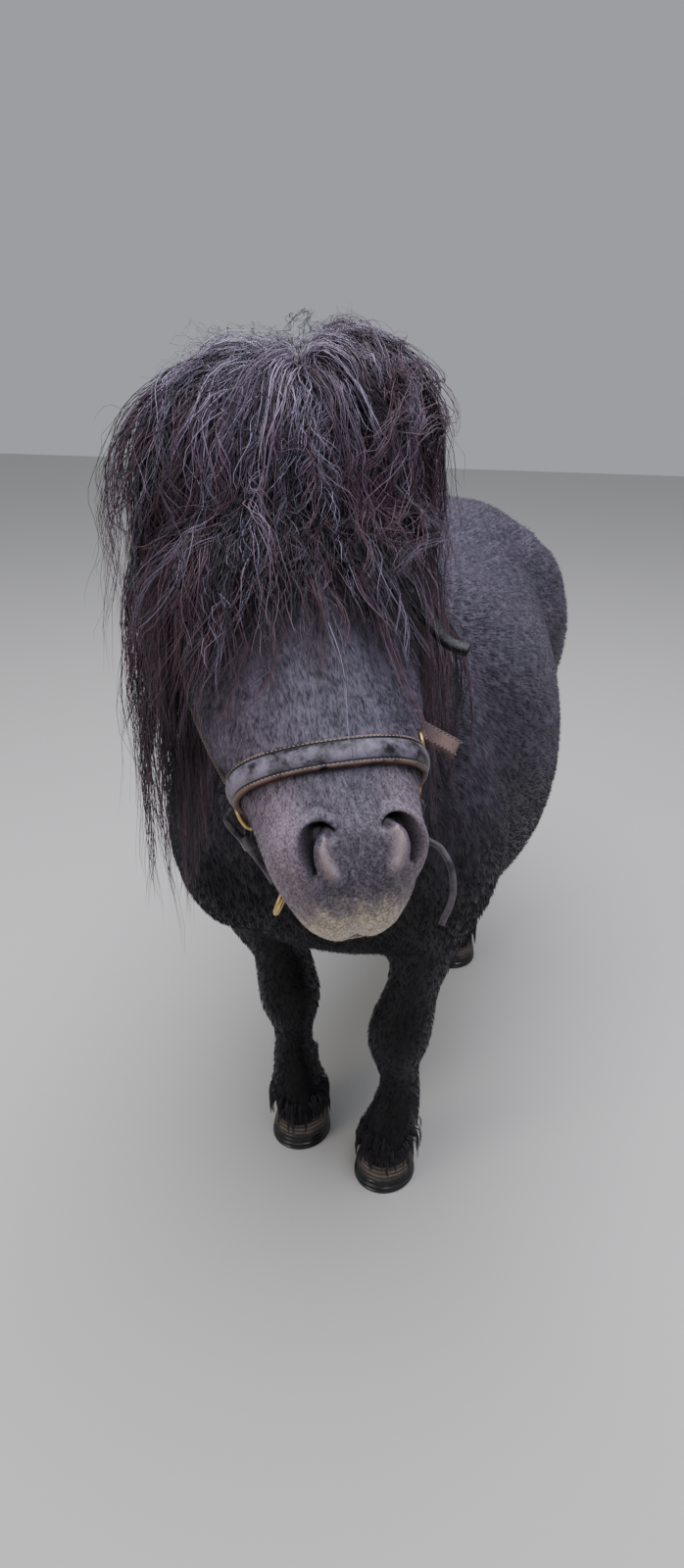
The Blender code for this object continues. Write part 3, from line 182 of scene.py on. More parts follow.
FLESH_VOXEL = 0.0086
FLESH_SMOOTHING = 12
COAT_DEPTH = {"body": 0.0060, "leg": 0.0045, "face": 0.0030, "muzzle": 0.0012}
NOSE_DOWN = 0.310         # how far down the face the noseband lies
LACE = [(0.336, 0.080, -0.092), (0.350, 0.074, -0.098), (0.363, 0.077, -0.102), (0.374, 0.089, -0.104),
        (0.393, 0.095, -0.109), (0.413, 0.093, -0.120), (0.431, 0.082, -0.136)]

# Where the coat is parted into regions: a point on each plane, and the way to the head and to the neck.
HEAD_CUT = ((0.030, -0.318, 1.070), (0.25, -0.95, -0.12))
NECK_CUT = ((0.0, 0.030, 1.000), (0.0, -0.872, 0.490))
FORE_TOP, FORE_BEHIND = 0.46, 0.26       # the coat of the front legs lies below and before these
HIND_TOP, HIND_BEFORE = 0.52, 0.44       # and that of the hind legs below and behind these

# One nostril's crescent, its alar fold, the mouth and the facial crest: down the face, out, up from the face line.
NOSTRIL_LINE = [(0.3800, 0.0210, -0.003), (0.3760, 0.0280, -0.005), (0.3785, 0.0360, -0.008),
                (0.3870, 0.0415, -0.012), (0.3980, 0.0420, -0.016), (0.4080, 0.0390, -0.021)]
FOLD_LINE = [(0.3820, 0.0270, -0.004), (0.3920, 0.0305, -0.009), (0.4040, 0.0280, -0.014), (0.4170, 0.0200, -0.022)]
RIM_LINE = [(0.367, 0.030, -0.004), (0.374, 0.0430, -0.011), (0.388, 0.0495, -0.018), (0.402, 0.0480, -0.025),
            (0.416, 0.0390, -0.032)]
NOSTRIL_HALF, NOSTRIL_DEPTH = 0.0040, 0.015
FLATTENED = (1.0, 1.0, 0.4)    # how much each of the three counts towards the distance from these lines
NOSTRIL_SHIFT = 0.007     # the muzzle is drawn a little to the left
CREST_LINE = [(0.175, 0.098, -0.078), (0.225, 0.095, -0.078), (0.275, 0.084, -0.070)]
DIP_LINE = [(0.20, 0.088, -0.042), (0.26, 0.076, -0.038), (0.32, 0.062, -0.036)]   # the hollow above it
MOUTH_FROM = 0.350
MOUTH_RISE, MOUTH_SLOPE, MOUTH_LIFT = -0.0775, -0.12, 0.05

TAIL_POINTS = 18          # along a strand of the tail
SUBSTEPS = 3              # how many times a falling lock is checked against the body from point to point
PATCH = 0.0015            # half the side of a tuft's patch on its map

# Balls that fill out both sides of the head: down the face, out, up from the face line, then three radii.
HEAD_BALLS = [
    (EYE_DOWN - 0.006, 0.074, -0.034, (0.040, 0.028, 0.030)),       # brow ridge
    (0.125, 0.062, -0.135, (0.078, 0.043, 0.064)),                  # cheek
    (NOSTRIL_DOWN - 0.006, 0.038, -0.036, (0.036, 0.030, 0.032)),   # nostril flare
    (0.418, 0.018, -0.064, (0.033, 0.026, 0.028)),                  # half of the upper lip
]
CHIN_BALL = (0.405, 0, -0.102, (0.028, 0.036, 0.022))
# The same on the body: how far out and the middle of both, then y, z and three radii.
BODY_BALLS = [
    (0.100, 0.0, -0.090, 0.665, (0.088, 0.078, 0.105)),             # breast muscle
    (0.138, -0.012, 0.020, 0.610, (0.115, 0.165, 0.195)),           # shoulder
    (0.137, 0.0, 0.695, 0.790, (0.118, 0.150, 0.130)),              # haunch
]

FORELOCK_CORE = (0.078, 0.122, 0.066)   # radii of the dark mass
WHORL = (-0.002, 0.024)   # where the forelock springs from, down the face and out
# Painted shade and light: the under layers take darker tones and the outer and top layers paler ones, where the hair
# catches the sky.
FORELOCK_LAYERS = [       # name, clearance, clumps, strands, points, half width, length, lift, darkest, lightest tone
    ("under", 0.000, 110, 8, 13, 0.00100, 0.270, 0.05, 0.00, 0.22),
    ("middle", 0.004, 96, 10, 18, 0.00072, 0.272, 0.15, 0.00, 0.46),
    ("outer", 0.008, 92, 12, 23, 0.00056, 0.262, 0.38, 0.06, 0.98),
    ("top", 0.013, 64, 12, 25, 0.00046, 0.245, 0.70, 0.38, 0.96),
]
FORELOCK_REACH = 128      # degrees to each side within which it falls
FORELOCK_LOOK = {"spread": 0.0110, "depth": 0.0040, "crinkle": 0.0040, "wander": 0.0150, "shorten": 0.40,
                 "stray": 0.19, "curled": 0.48, "curl": 0.0086}
WISPS = [(-9, 0.345), (14, 0.270), (33, 0.285), (-40, 0.300), (-64, 0.310)]
WISP_LOOK = {"spread": 0.0090, "depth": 0.0035, "crinkle": 0.0026, "wander": 0.0110, "shorten": 0.45, "stray": 0.06,
             "curled": 0.0, "curl": 0.0, "width": 0.00044}
FORELOCK_DROOP = (0.046, 0.036)   # the length within which it hangs, on the right and on the left
FORELOCK_LOOSE = 0.034    # how far off the poll it stands at most on the left
CROWN_CLUMPS = 110        # short fine hair that stands up round the whorl
CROWN_LOOK = {"spread": 0.0130, "depth": 0.0040, "crinkle": 0.0042, "wander": 0.0080, "shorten": 0.60,
              "stray": 0.30, "curled": 0.50, "curl": 0.0060, "width": 0.00038}
MANE_CORE = (0.018, 0.110)    # how far the dark mass stands over the crest and reaches down from it
MANE_HALF = (0.092, 0.150)    # its half width at the poll and at the withers
MANE_ENDS = {"l": 0.54, "r": 0.97}     # where the mane ends, from the poll at 0 to the withers at 1
MANE_GATHERS = {"l": 1.0, "r": 1.6}    # over 1 sets more of it near the head
LEFT_THINS = (0.35, 0.75, 0.55)        # where the left side starts and stops to thin, and what is left
# Painted shade and light: the under layers take darker tones, the outer layer paler ones.
MANE_LAYERS = [           # clearance, clumps left and right, strands, half width, length, lift, darkest, lightest tone
    (0.000, {"l": 44, "r": 112}, 9, 0.00110, 0.50, 0.00, 0.00, 0.30),
    (0.005, {"l": 40, "r": 88}, 10, 0.00080, 0.52, 0.05, 0.00, 0.45),
    (0.010, {"l": 32, "r": 58}, 11, 0.00056, 0.50, 0.12, 0.10, 0.75),
]
MANE_LOOK = {"spread": 0.0125, "depth": 0.0045, "crinkle": 0.0036, "wander": 0.0130, "shorten": 0.35, "stray": 0.10,
             "curled": 0.25, "curl": 0.0080}
MANE_DROOP, MANE_DROOP_BEHIND = (0.086, 0.045), 0.035
MANE_SHORTENS = 0.35          # the share of its length that it loses towards the withers
TAIL_CLUMPS = 150
TAIL_TOP, TAIL_RUN = Vector((0, 0.890, 0.868)), Vector((0, 0.028, -0.190))   # the dock's start and run
TAIL_LOOK = {"spread": 0.0150, "depth": 0.0070, "crinkle": 0.0030, "wander": 0.0100, "shorten": 0.35, "stray": 0.05,
             "curled": 0.15, "curl": 0.0080, "width": 0.00068}
FEATHER_LOOK = {"spread": 0.0055, "depth": 0.0020, "crinkle": 0.0010, "wander": 0.0024, "shorten": 0.35, "stray": 0.0,
                "curled": 0.0, "curl": 0.0, "width": 0.00054}
FEATHER_CLUMPS, FETLOCK_CLUMPS = 112, 14    # on each hoof, and how many of them grow behind the fetlock
FRINGE = {"height": (0.064, 0.100), "length": (0.030, 0.043), "radius": 0.030, "back": 0.006, "droop": 0.010}
FETLOCK = {"height": (0.100, 0.150), "length": (0.034, 0.052), "radius": 0.028, "back": 0.024, "droop": 0.020}

# The short coat by region: name, tufts, their length and their half width.
COAT = [
    ("torso", 64000, 0.018, 0.00060),
    ("neck", 18000, 0.019, 0.00060),
    ("head", 36000, 0.0080, 0.00034),
    ("forelegs", 16000, 0.0110, 0.00044),
    ("hindlegs", 18000, 0.0115, 0.00046),
]
TORSO_PARTED = 0.36       # y at which the torso's coat is divided into front and rear
# BARE_FROM is read against the painted shade of the openings.
BARE_FROM, COAT_ENDS = 0.25, 0.045    # no tufts where the skin is hollower, or lower down than this

# Colours and streaks: position and hex along the hair's tones; noise scale, roughness, from, to, darkest, palest. The
# streaks' paler locks are partly painted highlights.
HAIR_TONES = [(0.0, "#0b0a0c"), (0.30, "#242027"), (0.55, "#4f4858"), (0.80, "#7d748a"), (1.0, "#a198ae")]
BODY_STREAKS = (150.0, 0.65, 0.36, 0.66, 0.58, 1.48)
FACE_STREAKS = (210.0, 0.7, 0.34, 0.68, 0.62, 1.60)
# The way the coat lies along the barrel, shortened, and the way across it.
LIE, LIE_CROSSED = Vector((0, 0.60, -0.80)) * 0.20, Vector((0, 0.80, 0.60)) * 0.55

# Headcollar. A strap's section is given as shares of its half width and its thickness.
SEAM = 0.74               # the share of a strap's half width at which it is sewn
SUNK = 0.002              # how deep a strap's underside lies in the hair
BAR_SIDES, HOOP_STEPS = 14, 48
FLAT = [(1.0, 0.0), (1.0, 0.55), (0.96, 0.82), (0.86, 0.97), (0.5, 1.0), (0.0, 1.0)]
ROUNDED = [(1.0, 0.0), (1.0, 0.30), (0.90, 0.62), (0.70, 0.86), (0.40, 0.98), (0.0, 1.0)]
PADDED = [(1.0, 0.0), (1.0, 0.40), (0.97, 0.52), (0.90, 0.58), (0.80, 0.54), (0.74, 0.44), (0.68, 0.56),
          (0.56, 0.84), (0.36, 1.02), (0.16, 1.09), (0.0, 1.11)]
LEATHERS = {              # material name, dark, light, dry edge, roughness
    "strap": ("dark strap leather", "#221d20", "#5c5257", "#6a5c58", 0.36),
    "rolled": ("rolled strap leather", "#1d1a1d", "#5a5459", "#5a5459", 0.30),
    "nose": ("worn grey noseband leather", "#121013", "#7a7280", "#8a6a5c", 0.34),
    "brown": ("red-brown strap leather", "#34221f", "#67504b", "#70564f", 0.45),
    "black": ("glossy black strap leather", "#050506", "#0c0b0d", "#0c0b0d", 0.22),
}
# Paths round the head: down the face and degrees round it, 90 being the bridge.
NOSEBAND_TURNS = [(0.006, -18), (0.004, 20), (0.008, 90), (0.004, 160), (0.006, 198)]   # down from the noseband
CHEEK_TURNS = [(NOSE_DOWN - 0.012, -14), (0.23, -16), (0.14, -14), (0.075, -4), (0.034, 6)]
OVER_THE_HEAD = [         # node, path, width, thickness
    ("crownpiece", [(0.026, 8), (-0.012, 14), (-0.034, 40), (-0.040, 90), (-0.034, 140), (-0.012, 166),
                    (0.026, 172)], 0.022, 0.0036),
    ("throat_lash", [(0.050, -4), (0.085, -30), (0.105, -60), (0.110, -90), (0.105, -120), (0.085, -150),
                     (0.050, -176)], 0.016, 0.0032),
]
# Places in the head's own axes: the loose ends, and the two rolled straps on each side of the chin.
BROWN_END = [(0.276, 0.077, -0.059), (0.289, 0.095, -0.062), (0.303, 0.113, -0.064)]
BLACK_END = [(0.169, 0.100, -0.036), (0.190, 0.112, -0.042), (0.209, 0.124, -0.046), (0.220, 0.140, -0.045)]
CHIN_COURSES = {
    "chin_strap_r": ([(0.316, -0.080, -0.090), (0.325, -0.086, -0.096), (0.344, -0.074, -0.102),
                      (0.358, -0.063, -0.117), (0.374, -0.054, -0.126)],
                     [(0.316, -0.074, -0.090), (0.326, -0.070, -0.095), (0.344, -0.070, -0.110),
                      (0.358, -0.060, -0.124), (0.374, -0.050, -0.132)]),
    "chin_strap_l": ([(0.332, 0.080, -0.094), (0.352, 0.053, -0.124), (0.366, 0.010, -0.136),
                      (0.376, -0.036, -0.132)],
                     [(0.332, 0.078, -0.102), (0.352, 0.050, -0.132), (0.366, 0.008, -0.144),
                      (0.376, -0.038, -0.140)]),
}

# Camera
VIEW_YAW = math.radians(15.5)
VIEW_DOWN = math.radians(23.9)
VIEW_PIXELS = 1050.0          # focal length in pixels of the 698 x 1600 picture
PICTURE_HEIGHT = 1600.0
SENSOR = 36.0             # mm
VIEW_BACK, VIEW_HEIGHT = 1.345, 1.27    # from the point midway between the front hooves

# Seeded, so that every run gives the same hair.
fixed = random.Random(7)
draw = np.random.default_rng(7)


# Finishes

def linear(hex_colour):
    """An sRGB hex colour as linear red, green, blue and alpha."""
    parts = [int(hex_colour[i:i + 2], 16) / 255 for i in (1, 3, 5)]
    return tuple(c / 12.92 if c <= 0.04045 else ((c + 0.055) / 1.055) ** 2.4 for c in parts) + (1.0,)


def feed(tree, node, inputs):
    """Gives each named input of a node its link or its value."""
    for socket, value in inputs.items():
        if isinstance(value, bpy.types.NodeSocket):
            tree.links.new(value, node.inputs[socket])
        else:
            node.inputs[socket].default_value = value


def add_node(tree, kind, inputs=None, **settings):
    """Adds a node with its settings and its inputs."""
    made = tree.nodes.new(kind)
    for name, value in settings.items():
        setattr(made, name, value)
    feed(tree, made, inputs or {})
    return made


def maths(tree, operation, *values):
    """One step of arithmetic on links and numbers."""
    return add_node(tree, "ShaderNodeMath", dict(enumerate(values)), operation=operation).outputs[0]


def remap(tree, value, low, high, to_low=0.0, to_high=1.0, smooth=False):
    """Carries a value from one range to another and holds it there."""
    ends = {"Value": value, "From Min": low, "From Max": high, "To Min": to_low, "To Max": to_high}
    kind = "SMOOTHSTEP" if smooth else "LINEAR"
    return add_node(tree, "ShaderNodeMapRange", ends, interpolation_type=kind).outputs[0]


def between(tree, share, one, other):
    """A number at a share of the way from one to the other."""
    return add_node(tree, "ShaderNodeMix", {0: share, 2: one, 3: other}).outputs[0]


def mixed(tree, share, *colours):
    """A colour at a share of the way between two, each a link or a hex."""
    one, other = (linear(colour) if isinstance(colour, str) else colour for colour in colours)
    return add_node(tree, "ShaderNodeMix", {0: share, 6: one, 7: other}, data_type="RGBA").outputs[2]


def scaled(tree, colour, by):
    """A colour made brighter or darker."""
    return add_node(tree, "ShaderNodeVectorMath", {0: colour, "Scale": by}, operation="SCALE").outputs[0]


def noise(tree, place, scale, detail=2.0, roughness=0.5):
    """Cloudy noise from 0 to 1."""
    inputs = {"Vector": place, "Scale": scale, "Detail": detail, "Roughness": roughness}
    return add_node(tree, "ShaderNodeTexNoise", inputs).outputs["Fac"]


def attribute(tree, name):
    """A value that the mesh carries at its points."""
    return add_node(tree, "ShaderNodeAttribute", attribute_name=name).outputs["Fac"]


def raised(tree, height, strength, distance):
    """The bent normal of a surface with this height."""
    inputs = {"Height": height, "Strength": strength, "Distance": distance}
    return add_node(tree, "ShaderNodeBump", inputs).outputs[0]


def new_material(name):
    """An empty material with its shader and output joined."""
    made = bpy.data.materials.new(name)
    made.use_nodes = True
    tree = made.node_tree
    tree.nodes.clear()
    shader = tree.nodes.new("ShaderNodeBsdfPrincipled")
    output = tree.nodes.new("ShaderNodeOutputMaterial")
    tree.links.new(shader.outputs[0], output.inputs["Surface"])
    return made, tree, shader


def body_place(tree):
    """Each point's place in the body's own frame."""
    place = add_node(tree, "ShaderNodeTexCoord").outputs["Object"]
    return add_node(tree, "ShaderNodeVectorMath", {0: place, 1: MOVED}, operation="SUBTRACT").outputs[0]


def from_poll(tree, place, axis):
    """Each point's distance from the poll along an axis."""
    dot = add_node(tree, "ShaderNodeVectorMath", {0: place, 1: axis}, operation="DOT_PRODUCT").outputs["Value"]
    return maths(tree, "SUBTRACT", dot, axis.dot(POLL))


def coat_streaks(tree, place, down, out, rise, on_head):
    """Locks of short coat, 5 mm wide on the face and 7 mm on the body, drawn out along their lie; the paler locks
    partly painted highlights.
    """
    body = [from_poll(tree, place, axis) for axis in (Vector((1, 0, 0)), LIE_CROSSED, LIE)]
    face = [maths(tree, "MULTIPLY", down, 0.35), out, rise]
    streaks = []
    for ways, (scale, roughness, low, high, darkest, palest) in ((body, BODY_STREAKS), (face, FACE_STREAKS)):
        drawn = add_node(tree, "ShaderNodeCombineXYZ", dict(enumerate(ways))).outputs[0]
        streaks.append(remap(tree, noise(tree, drawn, scale, 5.0, roughness), low, high, darkest, palest))
    return between(tree, on_head, *streaks)


def coat_colour(tree):
    """Black coat painted lavender grey as a painted sheen, darkened by painted shade on the chest and legs, with a
    greyer nose and pale mealy lips.
    """
    place = body_place(tree)
    parts = add_node(tree, "ShaderNodeSeparateXYZ", {0: place}).outputs
    down, out, rise = (from_poll(tree, place, axis) for axis in HEAD_AXES)
    # Painted sheen: a lavender grey base, with a cloudy random tone, stands in for the sky's light on the black coat.
    colour = mixed(tree, remap(tree, noise(tree, place, 9.0, 3.0), 0.42, 0.68), "#4d4954", "#544b58")
    # Painted shade: the coat is darkened to near black on the chest and the legs, low down and to the front, away from
    # the light above.
    behind = remap(tree, parts["Y"], 0.0, 0.30, to_high=0.12)
    low = remap(tree, maths(tree, "ADD", parts["Z"], behind), 0.90, 0.52, smooth=True)
    colour = mixed(tree, low, colour, "#09090b")
    on_head = remap(tree, rise, -0.15, -0.12)
    nose = maths(tree, "MULTIPLY", remap(tree, down, 0.28, 0.38, smooth=True), on_head)
    colour = mixed(tree, nose, colour, "#4a444d")
    colour = scaled(tree, colour, coat_streaks(tree, place, down, out, rise, on_head))
    # The sides of the muzzle are mauve.
    pink = remap(tree, maths(tree, "ABSOLUTE", out), 0.022, 0.046, to_high=0.70)
    colour = mixed(tree, maths(tree, "MULTIPLY", pink, nose), colour, "#7a6c75")
    # The mealy lips have a ragged edge and freckles.
    grain = noise(tree, place, 160.0)
    freckle = noise(tree, place, 520.0, 3.0, 0.7)
    lip_line = maths(tree, "MULTIPLY_ADD", rise, -0.35, down)
    ragged = maths(tree, "MULTIPLY_ADD", grain, 0.020, lip_line)
    ragged = maths(tree, "MULTIPLY_ADD", freckle, 0.010, ragged)
    lips = maths(tree, "MULTIPLY", remap(tree, ragged, 0.447, 0.462, smooth=True), on_head)
    patch = maths(tree, "MULTIPLY_ADD", noise(tree, place, 75.0, 4.0, 0.6), 0.055, lip_line)
    mealy = mixed(tree, remap(tree, patch, 0.466, 0.492, smooth=True), "#6b6163", "#a89d8b")
    colour = mixed(tree, lips, colour, mealy)
    colour = scaled(tree, colour, between(tree, nose, 1.0, remap(tree, freckle, 0.36, 0.64, 0.48, 1.55)))
    # Painted shade darkens the openings, and where the value is below 0 a painted highlight makes the folds inside the
    # nostrils pale.
    hollow = attribute(tree, "hollow")
    colour = mixed(tree, remap(tree, hollow, 0.0, -1.0, to_high=0.75), colour, "#a08e8f")
    return mixed(tree, hollow, colour, "#060506"), grain, place


def coat_material(name, bump):
    """Short black coat: each hair is glossy, and the soft lavender sheen it gives under the sky is partly painted into
    its colour.
    """
    made, tree, shader = new_material(name)
    colour, grain, place = coat_colour(tree)
    if bump:
        # Hairs about a millimetre wide, drawn out four times as long along the body and three times down it.
        drawn = add_node(tree, "ShaderNodeMapping", {0: place, "Scale": (1.0, 0.25, 0.35)}).outputs[0]
        feed(tree, shader, {"Normal": raised(tree, noise(tree, drawn, 900.0), 0.35, 0.001)})
    else:
        # Each tuft's random tone, whose paler flecks partly stand in for painted glints on the hairs.
        colour = scaled(tree, colour, remap(tree, attribute(tree, "shade"), 0.0, 1.0, 0.60, 1.70))
    feed(tree, shader, {"Base Color": colour, "Roughness": remap(tree, grain, 0.0, 1.0, 0.42, 0.60),
                        "Specular IOR Level": 0.24, "Sheen Weight": 0.10, "Sheen Roughness": 0.45,
                        "Sheen Tint": linear("#b7aac6")})
    return made


def hair_material():
    """Long black hair, painted darker within and painted lavender grey where clumps catch the sky, purple-brown where
    it is bleached.
    """
    made, tree, shader = new_material("long black hair")
    along = attribute(tree, "along")
    tone = add_node(tree, "ShaderNodeValToRGB", {0: attribute(tree, "shade")})
    stops = tone.color_ramp.elements
    for spot, (at, colour) in enumerate(HAIR_TONES):
        stop = stops[spot] if spot < 2 else stops.new(at)
        stop.position = at
        stop.color = linear(colour)
    bleached = maths(tree, "MULTIPLY", remap(tree, along, 0.35, 1.0, 0.25, 0.85), attribute(tree, "warm"))
    colour = mixed(tree, bleached, tone.outputs[0], "#6b4a57")
    # Painted light: strands are paler near their roots, on top of the hair where it faces the sky.
    colour = scaled(tree, colour, remap(tree, along, 0.0, 0.55, 1.45, 1.0, smooth=True))
    feed(tree, shader, {"Base Color": colour, "Roughness": 0.40, "Specular IOR Level": 0.45})
    return made


def horn_material():
    """Hoof horn: dusty brown and dry under the hair, dark, ridged and polished by the grass below."""
    made, tree, shader = new_material("hoof horn")
    place = body_place(tree)
    height = add_node(tree, "ShaderNodeSeparateXYZ", {0: place}).outputs["Z"]
    stained = maths(tree, "MULTIPLY_ADD", noise(tree, place, 60.0, 4.0), 0.022, height)
    dusty = remap(tree, stained, 0.030, 0.042)
    # Growth ridges 6 mm apart, the colour darker in the grooves between them and paler on the ridges.
    bands = add_node(tree, "ShaderNodeTexWave", {"Vector": place, "Scale": 52.0, "Distortion": 1.2, "Detail": 2.0},
                     bands_direction="Z").outputs["Fac"]
    colour = scaled(tree, mixed(tree, dusty, "#191a1a", "#5c524a"), remap(tree, bands, 0.0, 1.0, 0.55, 1.55))
    feed(tree, shader, {"Base Color": colour, "Roughness": remap(tree, dusty, 0.0, 1.0, 0.20, 0.70),
                        "Normal": raised(tree, bands, 0.8, 0.0016)})
    return made


def eye_material():
    """Dark brown iris with a level, oblong pupil, read from the eye's own map."""
    made, tree, shader = new_material("dark brown eye")
    place = add_node(tree, "ShaderNodeUVMap", uv_map="eye").outputs[0]
    wide = add_node(tree, "ShaderNodeVectorMath", {0: place, 1: (0.62, 1.35, 0)}, operation="MULTIPLY").outputs[0]
    pupil, rim = (add_node(tree, "ShaderNodeVectorMath", {0: way}, operation="LENGTH").outputs["Value"]
                  for way in (wide, place))
    iris = mixed(tree, noise(tree, place, 18.0, 3.0), "#1c120c", "#3d281a")
    colour = mixed(tree, remap(tree, pupil, 0.30, 0.36), "#040405", iris)
    colour = mixed(tree, remap(tree, rim, 0.78, 0.90), colour, "#1a1512")
    feed(tree, shader, {"Base Color": colour, "Roughness": 0.05, "Coat Weight": 1.0, "Coat Roughness": 0.02})
    return made


def leather_material(name, dark, light, edge, roughness):
    """Strap leather: fine grain, paler rubbed patches, dry edges and a dark groove where it is sewn."""
    made, tree, shader = new_material(name)
    place = body_place(tree)
    across = attribute(tree, "across")
    rubbed = remap(tree, noise(tree, place, 55.0, 6.0, 0.65), 0.38, 0.62)
    colour = mixed(tree, rubbed, dark, light)
    dry = maths(tree, "MULTIPLY", remap(tree, across, 0.84, 0.92), rubbed)
    colour = mixed(tree, dry, colour, edge)
    aside = maths(tree, "ABSOLUTE", maths(tree, "SUBTRACT", across, SEAM))
    colour = mixed(tree, remap(tree, aside, 0.10, 0.03), colour, "#1b1719")
    border = remap(tree, across, SEAM, 0.80, to_high=0.6)
    colour = scaled(tree, colour, maths(tree, "SUBTRACT", 1.0, border))
    colour = mixed(tree, maths(tree, "MULTIPLY", dry, 0.7), colour, edge)
    # Grain cells about 0.8 mm across over creases some 4 mm apart.
    cells = add_node(tree, "ShaderNodeTexVoronoi", {"Vector": place, "Scale": 1200.0}).outputs["Distance"]
    depth = maths(tree, "MULTIPLY_ADD", noise(tree, place, 260.0, 3.0), 2.0, cells)
    feed(tree, shader, {"Base Color": colour, "Specular IOR Level": 0.30,
                        "Roughness": remap(tree, rubbed, 0.0, 1.0, roughness, roughness + 0.18),
                        "Normal": raised(tree, depth, 0.5, 0.0005)})
    return made


def brass_material():
    """Cast brass fittings, dulled and browned except where they rub."""
    made, tree, shader = new_material("worn brass")
    tarnish = noise(tree, body_place(tree), 120.0, 4.0)
    feed(tree, shader, {"Base Color": mixed(tree, tarnish, "#e0c184", "#9a7a45"), "Metallic": 1.0,
                        "Roughness": remap(tree, tarnish, 0.0, 1.0, 0.22, 0.50)})
    return made


def thread_material():
    """Waxed linen thread, grey with age."""
    made, tree, shader = new_material("waxed thread")
    twist = noise(tree, body_place(tree), 900.0)
    feed(tree, shader, {"Base Color": mixed(tree, twist, "#6d6762", "#9d968c"), "Roughness": 0.7})
    return made


# Shapes

def head_point(down, out, rise):
    """A point in the head's own axes: down the face, out to its left, up from the face line."""
    return POLL + FACE * down + SIDE * out + BROW * rise


def head_frame(points):
    """Points as distances down the face, out to the left and up from the face line."""
    away = np.asarray(points, float) - np.array(POLL)
    return away @ np.array(FACE), away @ np.array(SIDE), away @ np.array(BROW)


def smooth_rows(rows, steps):
    """Rows read from one smooth curve through the given ones."""
    rows = np.array(rows, float)
    ends = np.vstack([2 * rows[0] - rows[1], rows, 2 * rows[-1] - rows[-2]])
    out = []
    for before, start, stop, after in zip(ends, ends[1:], ends[2:], ends[3:]):
        for step in range(steps):
            t = step / steps
            bend = 2 * before - 5 * start + 4 * stop - after
            twist = 3 * start - before - 3 * stop + after
            out.append(start + 0.5 * ((stop - before) * t + bend * t * t + twist * t ** 3))
    out.append(rows[-1])
    return np.array(out)


def ring(centre, across, up, half_width, half_up, half_down, count, fullness=(1.0, 1.0)):
    """An oval section whose upper and lower halves may differ in height and in fullness."""
    points = []
    for step in range(count):
        angle = 2 * math.pi * step / count
        out, rise = math.cos(angle), math.sin(angle)
        out = math.copysign(abs(out) ** fullness[rise < 0], out)
        points.append(centre + across * (out * half_width) + up * (rise * (half_up if rise > 0 else half_down)))
    return points


def loft(bm, rings, closed=False):
    """Skins rings of equal count, capped at both ends or joined end to end."""
    layers = [[bm.verts.new(point) for point in points] for points in rings]
    count = len(layers[0])
    if not closed:
        bm.faces.new(list(reversed(layers[0])))
        bm.faces.new(layers[-1])
    pairs = list(zip(layers, layers[1:])) + ([(layers[-1], layers[0])] if closed else [])
    for low, high in pairs:
        for i in range(count):
            bm.faces.new((low[i], low[(i + 1) % count], high[(i + 1) % count], high[i]))


def object_from(name, bm):
    """Turns bm into an object whose faces point out, shaded smooth."""
    bmesh.ops.recalc_face_normals(bm, faces=bm.faces)
    mesh = bpy.data.meshes.new(name)
    bm.to_mesh(mesh)
    bm.free()
    mesh.shade_smooth()
    made = bpy.data.objects.new(name, mesh)
    bpy.context.scene.collection.objects.link(made)
    return made


def lofted(name, rings, closed=False):
    """An object skinned over rings."""
    bm = bmesh.new()
    loft(bm, rings, closed)
    return object_from(name, bm)


def set_values(mesh, name, values):
    """Gives each point of a mesh a value."""
    mesh.attributes.new(name, "FLOAT", "POINT").data.foreach_set("value", values)


def apply_modifiers(obj):
    """Puts the evaluated mesh in the place of the modifiers."""
    graph = bpy.context.evaluated_depsgraph_get()
    old = obj.data
    obj.data = bpy.data.meshes.new_from_object(obj.evaluated_get(graph))
    obj.modifiers.clear()
    bpy.data.meshes.remove(old)
    return obj


def finish(obj, finish_material, nodes=()):
    """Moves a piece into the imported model's frame, gives it its material and hands it to the frame."""
    obj.data.transform(Matrix.Translation(MOVED))
    obj.data.materials.clear()
    obj.data.materials.append(finish_material)
    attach(obj, "root")
    if nodes:
        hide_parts(*nodes)


def add_ball(bm, centre, axes, radii, segments=20):
    """A stretched ball, its radii along three axes."""
    turn = Matrix((axes[0], axes[1], axes[2])).transposed().to_4x4()
    size = Matrix.Diagonal((*radii, 1.0))
    bmesh.ops.create_uvsphere(bm, u_segments=segments, v_segments=segments // 2 + 2, radius=1.0,
                              matrix=Matrix.Translation(centre) @ turn @ size)


def even_ball(name, centre, axes, radii, around):
    """The same ball as an object, with its faces in the same order in every run, as hair that lies on it needs."""
    steps = around // 2 + 2
    bm = bmesh.new()
    layers = []
    for step in range(1, steps):
        angle = math.pi * step / steps
        wide, deep = radii[0] * math.sin(angle), radii[1] * math.sin(angle)
        middle = centre - axes[2] * (radii[2] * math.cos(angle))
        layers.append([bm.verts.new(point) for point in ring(middle, axes[0], axes[1], wide, deep, deep, around)])
    bottom, top = (bm.verts.new(centre + axes[2] * (sign * radii[2])) for sign in (-1, 1))
    for i in range(around):
        after = (i + 1) % around
        bm.faces.new((bottom, layers[0][after], layers[0][i]))
        for low, high in zip(layers, layers[1:]):
            bm.faces.new((low[after], high[after], high[i], low[i]))
        bm.faces.new((layers[-1][i], layers[-1][after], top))
    return object_from(name, bm)


def surface_of(*objects):
    """Finds the nearest points and ray hits on these objects."""
    bm = bmesh.new()
    for obj in objects:
        bm.from_mesh(obj.data)
    tree = BVHTree.FromBMesh(bm)
    bm.free()
    return tree


